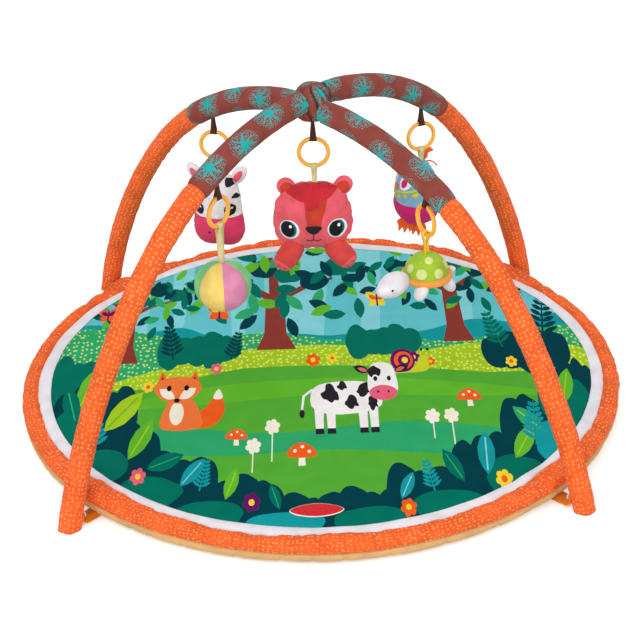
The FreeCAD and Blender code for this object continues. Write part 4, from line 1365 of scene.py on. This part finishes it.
def cushion(name, outline, depth, place, finish, toy, stands_for=(), edge=0.6, detail=6,
            cap=0.002, pucker=0.014, lower=None):
    """Stuffed shape of two panels sewn round an outline, facing -Y.

    lower is the (height, lean, finish) of a second cloth."""
    bm = bmesh.new()
    bmesh.ops.create_icosphere(bm, subdivisions=detail, radius=1.0)
    for vert in bm.verts:
        x, y, z = vert.co
        flat, angle = min(hypot(x, z), 1.0), atan2(z, x)
        gather = pucker * flat ** 12 * (noise.noise(Vector((cos(angle) * 7, sin(angle) * 7,
                                                            depth * 99))) - 0.2)
        reach = outline(angle) * flat * (1 + gather)
        deep = depth * (1 - flat * flat) ** edge
        deep *= 1 + 0.25 * flat ** 6 * noise.noise(Vector((cos(angle) * 9, sin(angle) * 9, 2.0)))
        vert.co = (reach * cos(angle), copysign(deep, y) if abs(y) > 1e-6 else 0.0, reach * sin(angle))
    if lower:
        height, lean, second = lower
        upright = Vector((sin(lean), 0, cos(lean)))
        bmesh.ops.bisect_plane(bm, geom=list(bm.verts) + list(bm.edges) + list(bm.faces),
                               plane_co=(0, 0, height), plane_no=upright)
        for face in bm.faces:
            face.material_index = int((face.calc_center_median() - Vector((0, 0, height))).dot(upright) < 0)
    seam = [abs(vert.co.y) < depth * 0.12 for vert in bm.verts]
    bmesh.ops.transform(bm, matrix=place, verts=bm.verts)
    piece = add_piece(name, bm, finish, toy + "_toy", stands_for)
    if lower:
        piece.data.materials.append(second)
    puff(piece, 4.0, cap, [k for k, held in enumerate(seam) if held], 10, 0.03)
    return piece


def patch(name, host, outline, place, finish, toy, slot, lift=0.0006, thick=0.0009, pitch=0.0018):
    """Cloth or stitched shape laid on a toy; its outline is in the place's front plane, in millimetres."""
    outline = [(p[0] * MM, p[1] * MM) for p in outline]
    tree = BVHTree.FromPolygons([v.co for v in host.data.vertices], [p.vertices for p in host.data.polygons])
    low = (min(p[0] for p in outline), min(p[1] for p in outline))
    high = (max(p[0] for p in outline), max(p[1] for p in outline))
    faces, points = cut_cloth([outline], pitch, low, high)
    toward = (place.to_3x3() @ Vector((0, 1, 0))).normalized()
    bm = bmesh.new()
    outward = bm.verts.layers.float_vector.new("outward")
    verts = []
    for x, z in points:
        spot, normal = tree.ray_cast(place @ Vector((x, -0.1, z)), toward)[:2]
        if spot is None or (spot - place.translation).length > 0.12:
            spot, normal = tree.find_nearest(place @ Vector((x, -0.005, z)))[:2]
        vert = bm.verts.new(spot + normal * (lift - thick))
        vert[outward] = normal
        verts.append(vert)
    for triangle, _ in faces:
        bm.faces.new([verts[k] for k in triangle])
    bmesh.ops.delete(bm, geom=[v for v in bm.verts if not v.link_faces], context="VERTS")
    for geom in bmesh.ops.extrude_face_region(bm, geom=bm.faces, use_keep_orig=True)["geom"]:
        if isinstance(geom, bmesh.types.BMVert):
            geom.co += Vector(geom[outward]) * thick
    return add_piece(name, bm, finish, toy + "_toy")


def sewer(prefix, host, place, toy, slot):
    """A short way to sew patches on one piece of a toy."""
    def sew(name, outline, finish, *lift_thick_pitch, **more):
        patch(f"{prefix} {name}", host, outline, place, finish, toy, slot, *lift_thick_pitch, **more)
    return sew


def oval(x, z, wide, high, count=28):
    return [(x + wide * cos(2 * pi * k / count), z + high * sin(2 * pi * k / count)) for k in range(count)]


def soft(points, steps=5):
    """Rounded closed outline through the points."""
    return [(p.x, p.y) for p in curve([(x, y, 0) for x, y in points], steps, True)]


def line(points, width):
    """Outline of a stitched line."""
    path = curve([(x, y, 0) for x, y in points], 4)
    left, right = [], []
    for k, p in enumerate(path):
        way = path[min(k + 1, len(path) - 1)] - path[max(k - 1, 0)]
        side = Vector((-way.y, way.x, 0)).normalized() * width / 2
        left.append((p.x + side.x, p.y + side.y))
        right.append((p.x - side.x, p.y - side.y))
    return left + right[::-1]


def felt(name, outline, thickness, place, finish, toy, stands_for=()):
    """Flat cut of felt in the toy's front plane."""
    outline = [(p[0] * MM, p[1] * MM) for p in outline]
    low = (min(p[0] for p in outline), min(p[1] for p in outline))
    high = (max(p[0] for p in outline), max(p[1] for p in outline))
    faces, points = cut_cloth([outline], 0.003, low, high)
    bm = bmesh.new()
    verts = [bm.verts.new(place @ Vector((x, 0.0008 * soft_noise((x, z, 0), 90.0), z))) for x, z in points]
    for triangle, _ in faces:
        bm.faces.new([verts[k] for k in triangle])
    bmesh.ops.delete(bm, geom=[v for v in bm.verts if not v.link_faces], context="VERTS")
    bmesh.ops.recalc_face_normals(bm, faces=bm.faces)
    bmesh.ops.solidify(bm, geom=bm.faces, thickness=thickness)
    return add_piece(name, bm, finish, toy + "_toy", stands_for)


def facing_at(node_or_point, turned=0.0, lean=0.0, about=0.0):
    """Place of a toy piece: its middle, turned about Z, then leaning in its front plane."""
    spot = middle(node_or_point) if isinstance(node_or_point, str) else node_or_point
    return (Matrix.Translation(spot) @ Matrix.Rotation(radians(turned), 4, "Z")
            @ Matrix.Rotation(radians(about), 4, "X") @ Matrix.Rotation(radians(lean), 4, "Y"))


STITCH_BLACK = brushed_cloth("black embroidery", "nose", 0.6, 0.0)
EYE_BLACK = brushed_cloth("black satin stitch", "eye", 0.6, 0.0)
EYE_WHITE = brushed_cloth("white embroidery", "eye white", 0.7, 0.1)
CORAL = plush("coral plush", "coral")
TERRACOTTA = plush("terracotta plush", "terracotta")


def make_tiger():
    """Coral cub's head with round ears, a dark tuft and two hanging paws."""
    home = middle("tiger_head") + Vector((-0.0035, 0, 0))
    place = facing_at(home)
    face = rounded(0.0540, 0.0530, 2.45, ((-20, 24, 0.035), (-160, 24, 0.035), (-90, 24, -0.10)))
    head = cushion("tiger cub head", face, 0.0265, place, CORAL, "tiger", ["tiger_head"],
                   pucker=0.034, cap=0.003)
    arm_plush = plush("arm plush", "paw")
    for side in (-1, 1):
        mark = side + 2
        at = home + Vector((0.0425 if side > 0 else -0.0350, 0.002, 0.0450))
        ear_place = facing_at(at, 0, side * 38)
        ear = cushion(f"tiger cub ear {mark}", rounded(0.0126, 0.0142, 2.2), 0.0065, ear_place, CORAL,
                      "tiger",
                      ["tiger_ears"] if side > 0 else (), detail=5, cap=0.001)
        sewer("tiger cub", ear, ear_place, "tiger", "tiger_plush")(f"inner ear {mark}",
                                                                   oval(0, -1.0, 8.6, 9.8), TERRACOTTA)
        paw_at = home + Vector((0.0365 if side > 0 else -0.0345, -0.0130, -0.0505))
        paw_place = facing_at(paw_at, side * 8, 33 if side < 0 else -42)
        paw_shape = rounded(0.0162, 0.0258 if side < 0 else 0.0245, 2.6, ((-90, 50, 0.06),))
        paw = cushion(f"tiger cub paw {mark}", paw_shape, 0.0135, paw_place, arm_plush, "tiger",
                      ["tiger_paws"] if side > 0 else (), detail=5, cap=0.0015, pucker=0.05)
        sew = sewer("tiger cub", paw, paw_place, "tiger", "tiger_plush")
        sew(f"paw pad {mark}", soft([(-12, -14), (0, -11), (12, -14), (9, -21), (0, -24), (-9, -21)]),
            CORAL, 0.0006)
        for k in (-1, 1):
            sew(f"toe line {mark} {k + 2}", line([(k * 4.5, -14), (k * 5.0, -22)], 0.9), TERRACOTTA,
                0.0010, 0.0007, 0.0012)
    tuft = plush("dark red plush", "tuft")
    iris = brushed_cloth("teal embroidery", "iris", 0.6, 0.0)
    sew = sewer("tiger cub", head, place, "tiger", "tiger_plush")
    sew("blaze", soft([(-12, 44), (4, 45), (19, 44), (18, 26), (12, 8), (9, -3), (-7, -3), (-9, 6),
                       (-11, 24)]),
        TERRACOTTA, 0.0005)
    sew("tuft", soft([(-36, 43), (-16, 51), (8, 52), (33, 48), (29, 40), (17, 33), (10, 35), (6, 26),
                      (-3, 21), (-10, 23), (-9, 31), (-17, 33), (-27, 37)]), tuft, 0.0009)
    for side in (-1, 1):
        mark, x = side + 2, side * 32.5
        sew(f"eye white {mark}", oval(x, -8.5, 13.4, 14.4), EYE_WHITE, 0.0009)
        sew(f"iris {mark}", oval(x - 1.0, -7.8, 10.8, 12.6), iris, 0.0011)
        sew(f"pupil {mark}", oval(x - 2.0, -7.8, 8.8, 11.6), EYE_BLACK, 0.0014)
        sew(f"glint {mark}", oval(x + 1.6, -3.0, 2.0, 2.4, 14), EYE_WHITE, 0.0017, pitch=0.0008)
    sew("nose", soft([(-11, -3.5), (-5, -1.4), (5, -1.4), (11, -3.5), (7.5, -9.5), (0, -13.5), (-7.5, -9.5)]),
        STITCH_BLACK, 0.0013)
    sew("mouth", line([(0, -12), (0, -24)], 0.9), STITCH_BLACK, 0.0007, 0.0007, 0.0012)
    for side in (-1, 1):
        sew(f"smile {side + 2}", line([(0, -23.8), (side * 4, -26.0), (side * 10, -23.5)], 0.9), STITCH_BLACK,
            0.0007, 0.0007, 0.0012)
    make_ribbon("tiger", "tiger_ribbon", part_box("tiger_head")[1].z)


ZEBRA_TURN = -14            # degrees about the vertical


def make_zebra():
    """White foal's head with a pink muzzle and upright ears."""
    low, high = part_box("zebra_muzzle")[0].z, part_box("zebra_head")[1].z
    spot = middle("zebra_muzzle")
    home = Vector((spot.x, spot.y, (low + high) / 2))
    place = facing_at(home, ZEBRA_TURN)
    white, pink = plush("white plush", "zebra"), plush("pink plush", "muzzle")
    face = rounded(0.0355, 0.0585, 2.5, ((-50, 26, 0.17), (-130, 26, 0.17), (-90, 16, -0.04)))
    head = cushion("foal head", face, 0.025, place, white, "zebra",
                   ["zebra_head", "zebra_muzzle"], lower=(-0.0060, 0.0, pink))
    inner = plush("coral ear plush", "coral")
    sew = sewer("foal", head, place, "zebra", "zebra_plush")
    for side in (-1, 1):
        mark, x = side + 2, side * 22.5
        at = home + Matrix.Rotation(radians(ZEBRA_TURN), 3, "Z") @ Vector((side * 0.0325, 0.003, 0.0530))
        ear_place = facing_at(at, ZEBRA_TURN, side * 36)
        ear = cushion(f"foal ear {mark}", rounded(0.0100, 0.0175, 1.9), 0.0055, ear_place, white, "zebra",
                      ["zebra_ears"] if side > 0 else (), detail=5, cap=0.001)
        sewer("foal", ear, ear_place, "zebra", "zebra_plush")(f"inner ear {mark}", oval(0, -1.5, 4.6, 11.5),
                                                              inner)
        sew(f"eye {mark}", oval(x, 7.0, 7.4, 9.0), EYE_BLACK, 0.0010)
        sew(f"glint {mark}", oval(x + 2.4, 9.6, 1.5, 1.7, 12), EYE_WHITE, 0.0014, pitch=0.0008)
        patch(f"foal nostril {mark}", head, oval(side * 9, -30, 2.2, 1.6, 14), place,
              plush(f"nostril plush {mark}", "plum"), "zebra", "muzzle_plush", 0.0008, pitch=0.001)
    marks = ([(16, 52), (30, 44), (18, 40)], [(-12, 53), (-2, 36), (8, 53)], [(30, 30), (34, 22), (25, 24)],
             [(-31, 36), (-22, 32), (-33, 28)])
    for k, outline in enumerate(marks):
        sew(f"mark {k + 1}", soft(outline, 3), STITCH_BLACK, 0.0007)
    make_ribbon("zebra", "zebra_ribbon", high)


GORE = pi / 3               # each of the ball's six panels


def make_ball():
    """Soft ball of six sewn gores."""
    low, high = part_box("ball_body")
    home, half = (low + high) / 2, (high.z - low.z) / 2
    wide = (high.x - low.x) / 2
    rows = 44
    profile = [(wide * sin(pi * k / rows), -half * cos(pi * k / rows)) for k in range(rows + 1)]
    profile[0], profile[-1] = (0, -half), (0, half)
    bm = lathe(profile, 120, ring=False)
    for vert in bm.verts:
        radius, angle = hypot(vert.co.x, vert.co.y), atan2(vert.co.y, vert.co.x) + pi / 2
        away = abs((angle / GORE + 0.5) % 1.0 - 0.5) * GORE
        pinch = 1 - 0.040 * exp(-(away / 0.055) ** 2) - 0.012 * exp(-(away / 0.16) ** 2)
        pinch += 0.006 * noise.noise(Vector((vert.co.x * 60, vert.co.y * 60, vert.co.z * 60)))
        vert.co.x, vert.co.y = vert.co.x * pinch, vert.co.y * pinch
        if radius < wide * 0.25:
            vert.co.z *= 1 - 0.05 * (1 - radius / (wide * 0.25))
    for face in bm.faces:
        centre = face.calc_center_median()
        gore = int((atan2(centre.y, centre.x) + pi / 2) % (2 * pi) / GORE)
        face.material_index = (1, 2, 3, 3, 2, 0)[gore]
    bm.verts.index_update()
    held = [vert.index for vert in bm.verts
            if abs(((atan2(vert.co.y, vert.co.x) + pi / 2) / GORE + 0.5) % 1.0 - 0.5) < 0.03]
    place = facing_at(home, 4)
    bmesh.ops.transform(bm, matrix=place, verts=bm.verts)
    ball = add_piece("gored ball", bm, plush("yellow plush", "ball yellow"), "ball_toy",
                     ["ball_body"])
    for colour in ("ball pink", "ball green", "ball pale"):
        ball.data.materials.append(plush(colour + " plush", colour))
    puff(ball, 4.0, 0.0015, held, 10)
    make_ribbon("ball", "ball_ribbon", home.z + half, width=0.0105, twist=radians(-60))


BIRD_TURN = -74             # degrees about the vertical


def make_bird():
    """Egg-shaped chick in two colours with a drop necklace, felt feet and a felt crest."""
    low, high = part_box("bird_body")
    spot = (low + high) / 2
    home = Vector((spot.x - 0.006, spot.y, low.z + 0.0405))
    place = facing_at(home, BIRD_TURN)
    blue, pink = plush("sky blue plush", "bird blue"), plush("magenta plush", "bird pink")

    def egg(angle):
        tall = 0.0655 if sin(angle) > 0 else 0.0365
        return 1 / ((abs(cos(angle)) / 0.0365) ** 2.05 + (abs(sin(angle)) / tall) ** 2.05) ** (1 / 2.05)

    body = cushion("chick body", egg, 0.0335, place, blue, "bird", ["bird_body"], edge=0.52,
                   lower=(0.0075, radians(6), pink))
    yellow = brushed_cloth("yellow embroidery", "necklace", 0.7, 0.1)
    sew = sewer("chick", body, place, "bird", "bird_plush")
    sew("necklace", line([(-31, 31), (-16, 24), (0, 21), (16, 23), (28, 27), (34, 31)], 3.0), yellow, 0.0006)
    for k, (x, z) in enumerate(((-22, 20), (-11, 16), (1, 14.5), (12, 16), (22, 18.5), (31, 22))):
        sew(f"drop {k + 1}", oval(x, z, 2.3, 3.8, 16), yellow, 0.0009)
    for side in (-1, 1):
        sew(f"eye patch {side + 2}", oval(side * 16, 37, 9.5, 11), EYE_WHITE, 0.0006)
        sew(f"eye {side + 2}", oval(side * 15.5, 36, 4.6, 6.2, 20), pink, 0.0011)
    orange = brushed_cloth("orange felt", "bird foot", 0.95, 0.4)
    patch("chick beak", body, soft([(-6, 28), (0, 31), (6, 28), (0, 20)]), place, orange, "bird",
          "bird_felt", 0.0012)
    foot = [(-10, 2), (-4, 8), (4, 8), (10, 2), (8, -5), (4.5, -2), (2, -8), (-1.5, -3), (-5, -7.5), (-7, -2)]
    foot = [(x * 1.25, z * 1.45) for x, z in foot]
    for k, (x, y, z, lean) in enumerate(((-0.0185, -0.013, -0.0345, 12), (0.0005, -0.014, -0.0395, 2))):
        at = home + Vector((x, y, z))
        felt(f"chick foot {k + 1}", soft(foot, 4), 0.0030, facing_at(at, -16, lean, -20), orange, "bird",
             ["bird_feet"] if k else ())
    crest = soft([(0, -8), (4, -3), (3, 4), (9, 9), (4, 12), (-3, 11), (-8, 5), (-5, -2)], 4)
    top = middle("bird_crest")
    felt("chick crest", crest, 0.0030, facing_at(top + Vector((-0.002, 0, 0.003)), 0, 20), orange, "bird",
         ["bird_crest"])
    felt("chick curl", line([(-6, 0), (0, 1.5), (7, -2), (11, -7)], 1.8), 0.0020,
         facing_at(top + Vector((0.004, 0, -0.009)), 0, 0), orange, "bird")
    make_ribbon("bird", "bird_ribbon", high.z)


TURTLE_HEADING = 208        # degrees, the way it swims


def make_turtle():
    """Green dotted dome with a rolled rim, a white head, flippers and a tail."""
    low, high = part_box("turtle_rim")
    home = (low + high) / 2 + Vector((-0.007, -0.002, -0.005))
    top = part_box("turtle_shell")[1].z - 0.003
    shell_high = top - home.z
    place = Matrix.Translation(home) @ Matrix.Rotation(radians(TURTLE_HEADING), 4, "Z")
    bm = bmesh.new()
    bmesh.ops.create_icosphere(bm, subdivisions=6, radius=1.0)
    for vert in bm.verts:
        bulge = 1 + 0.012 * noise.noise(vert.co * 3)
        vert.co = Vector((vert.co.x * 0.0300, vert.co.y * 0.0300,
                          vert.co.z * (shell_high if vert.co.z > 0 else 0.0135))) * bulge
    held = [v.index for v in bm.verts if abs(v.co.z) < 0.001]
    bmesh.ops.transform(bm, matrix=place, verts=bm.verts)
    shell = add_piece("turtle dome", bm, plush("green plush", "shell"), "turtle_toy",
                      ["turtle_shell"])
    puff(shell, 3.0, 0.001, held, 8)
    pale = plush("pale green plush", "shell dot")
    for k, (azimuth, rise, size) in enumerate(((-108, 26, 7.2), (-58, 24, 6.6), (-82, 62, 5.6),
                                               (-150, 32, 6.0), (-10, 34, 6.6),
                                               (150, 30, 6.6), (100, 32, 6.4), (50, 30, 6.6))):
        aim = (Matrix.Translation(home) @ Matrix.Rotation(radians(azimuth + 90), 4, "Z")
               @ Matrix.Rotation(radians(-rise), 4, "X"))
        patch(f"turtle dot {k + 1}", shell, oval(0, 0, size, size, 24), aim, pale, "turtle", "shell_plush",
              0.0005)
    bm = bmesh.new()
    upright = Matrix.Translation((0.0298, 0, 0)) @ Matrix.Rotation(pi / 2, 4, "X")
    ring = bmesh.ops.create_circle(bm, segments=20, radius=0.0046, matrix=upright)
    bmesh.ops.spin(bm, geom=list(ring["verts"]) + list(bm.edges), cent=(0, 0, 0), axis=(0, 0, 1),
                   dvec=(0, 0, 0), angle=2 * pi, steps=120, use_merge=True, use_duplicate=False)
    bmesh.ops.remove_doubles(bm, verts=bm.verts, dist=1e-6)
    for vert in bm.verts:
        angle = atan2(vert.co.y, vert.co.x)
        vert.co *= 1 + 0.018 * noise.noise(Vector((cos(angle) * 5, sin(angle) * 5, vert.co.z * 200)))
        vert.co.z *= 1.05
    bmesh.ops.transform(bm, matrix=place, verts=bm.verts)
    rim = add_piece("turtle rolled rim", bm, plush("orange plush", "rim"), "turtle_toy",
                    ["turtle_rim"])
    white = plush("white flipper plush", "turtle")
    turned = Matrix.Rotation(radians(TURTLE_HEADING), 3, "Z")

    def limb(name, at, half, lean, stands_for=(), detail=5, slim=0.0):
        bm = bmesh.new()
        bmesh.ops.create_icosphere(bm, subdivisions=detail, radius=1.0)
        for vert in bm.verts:
            narrow = 1 - slim * max(0.0, vert.co.x)
            vert.co = Vector((vert.co.x * half[0], vert.co.y * half[1] * narrow,
                              vert.co.z * half[2] * narrow))
            vert.co *= 1 + 0.02 * noise.noise(vert.co * 90)
        matrix = (Matrix.Translation(home + turned @ Vector(at)) @ Matrix.Rotation(radians(TURTLE_HEADING),
                                                                                   4, "Z")
                  @ Matrix.Rotation(radians(lean), 4, "Y"))
        bmesh.ops.transform(bm, matrix=matrix, verts=bm.verts)
        add_piece(name, bm, white, "turtle_toy", stands_for)
        return matrix

    at = limb("turtle head plush", (0.0520, 0, -0.0015), (0.0245, 0.0170, 0.0160), 16, ["turtle_head"],
              slim=0.16)
    for side in (-1, 1):
        bm = bmesh.new()
        bmesh.ops.create_icosphere(bm, subdivisions=3, radius=0.0021)
        bmesh.ops.transform(bm, matrix=at @ Matrix.Translation((0.0080, side * 0.0135, 0.0030)),
                            verts=bm.verts)
        add_piece(f"turtle eye {side + 2}", bm, EYE_BLACK, "turtle_toy")
    for k, (along, across) in enumerate(((0.72, 0.72), (0.72, -0.72), (-0.72, 0.72), (-0.72, -0.72))):
        limb(f"turtle flipper {k + 1}", (along * 0.029, across * 0.029, -0.0102), (0.0080, 0.0105, 0.0130),
             -30 if along > 0 else 30, ["turtle_legs"] if k == 0 else ())
    limb("turtle tail", (-0.0380, 0, -0.0020), (0.0080, 0.0045, 0.0040), -20, detail=4)
    link = moulded("link plastic", "link", 0.35)
    make_ribbon("turtle", "turtle_link", top, link, 0.0055, 0.0,
                (home.x - middle("ring_turtle").x, home.y - middle("ring_turtle").y), 0.0022)


make_tiger()
make_zebra()
make_ball()
make_bird()
make_turtle()

# ==================================================================== parts left from the frame
# Each core's colour, roughness and metal, by a word in its node's name.
CORES = {"rod": plain_core("fibreglass rod", (0.42, 0.42, 0.40, 1), 0.4),
         "ferrule": plain_core("plated ferrule", (0.6, 0.6, 0.62, 1), 0.25, 1.0),
         "foam": plain_core("grey foam", (0.35, 0.35, 0.36, 1), 0.95),
         "end_caps": plain_core("black cap", (0.05, 0.05, 0.05, 1), 0.5),
         "snap": plain_core("white snap", (0.8, 0.79, 0.75, 1), 0.35)}
for name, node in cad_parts.items():
    for key, finish in CORES.items():
        if key in name:
            node.data.materials.clear()
            node.data.materials.append(finish)
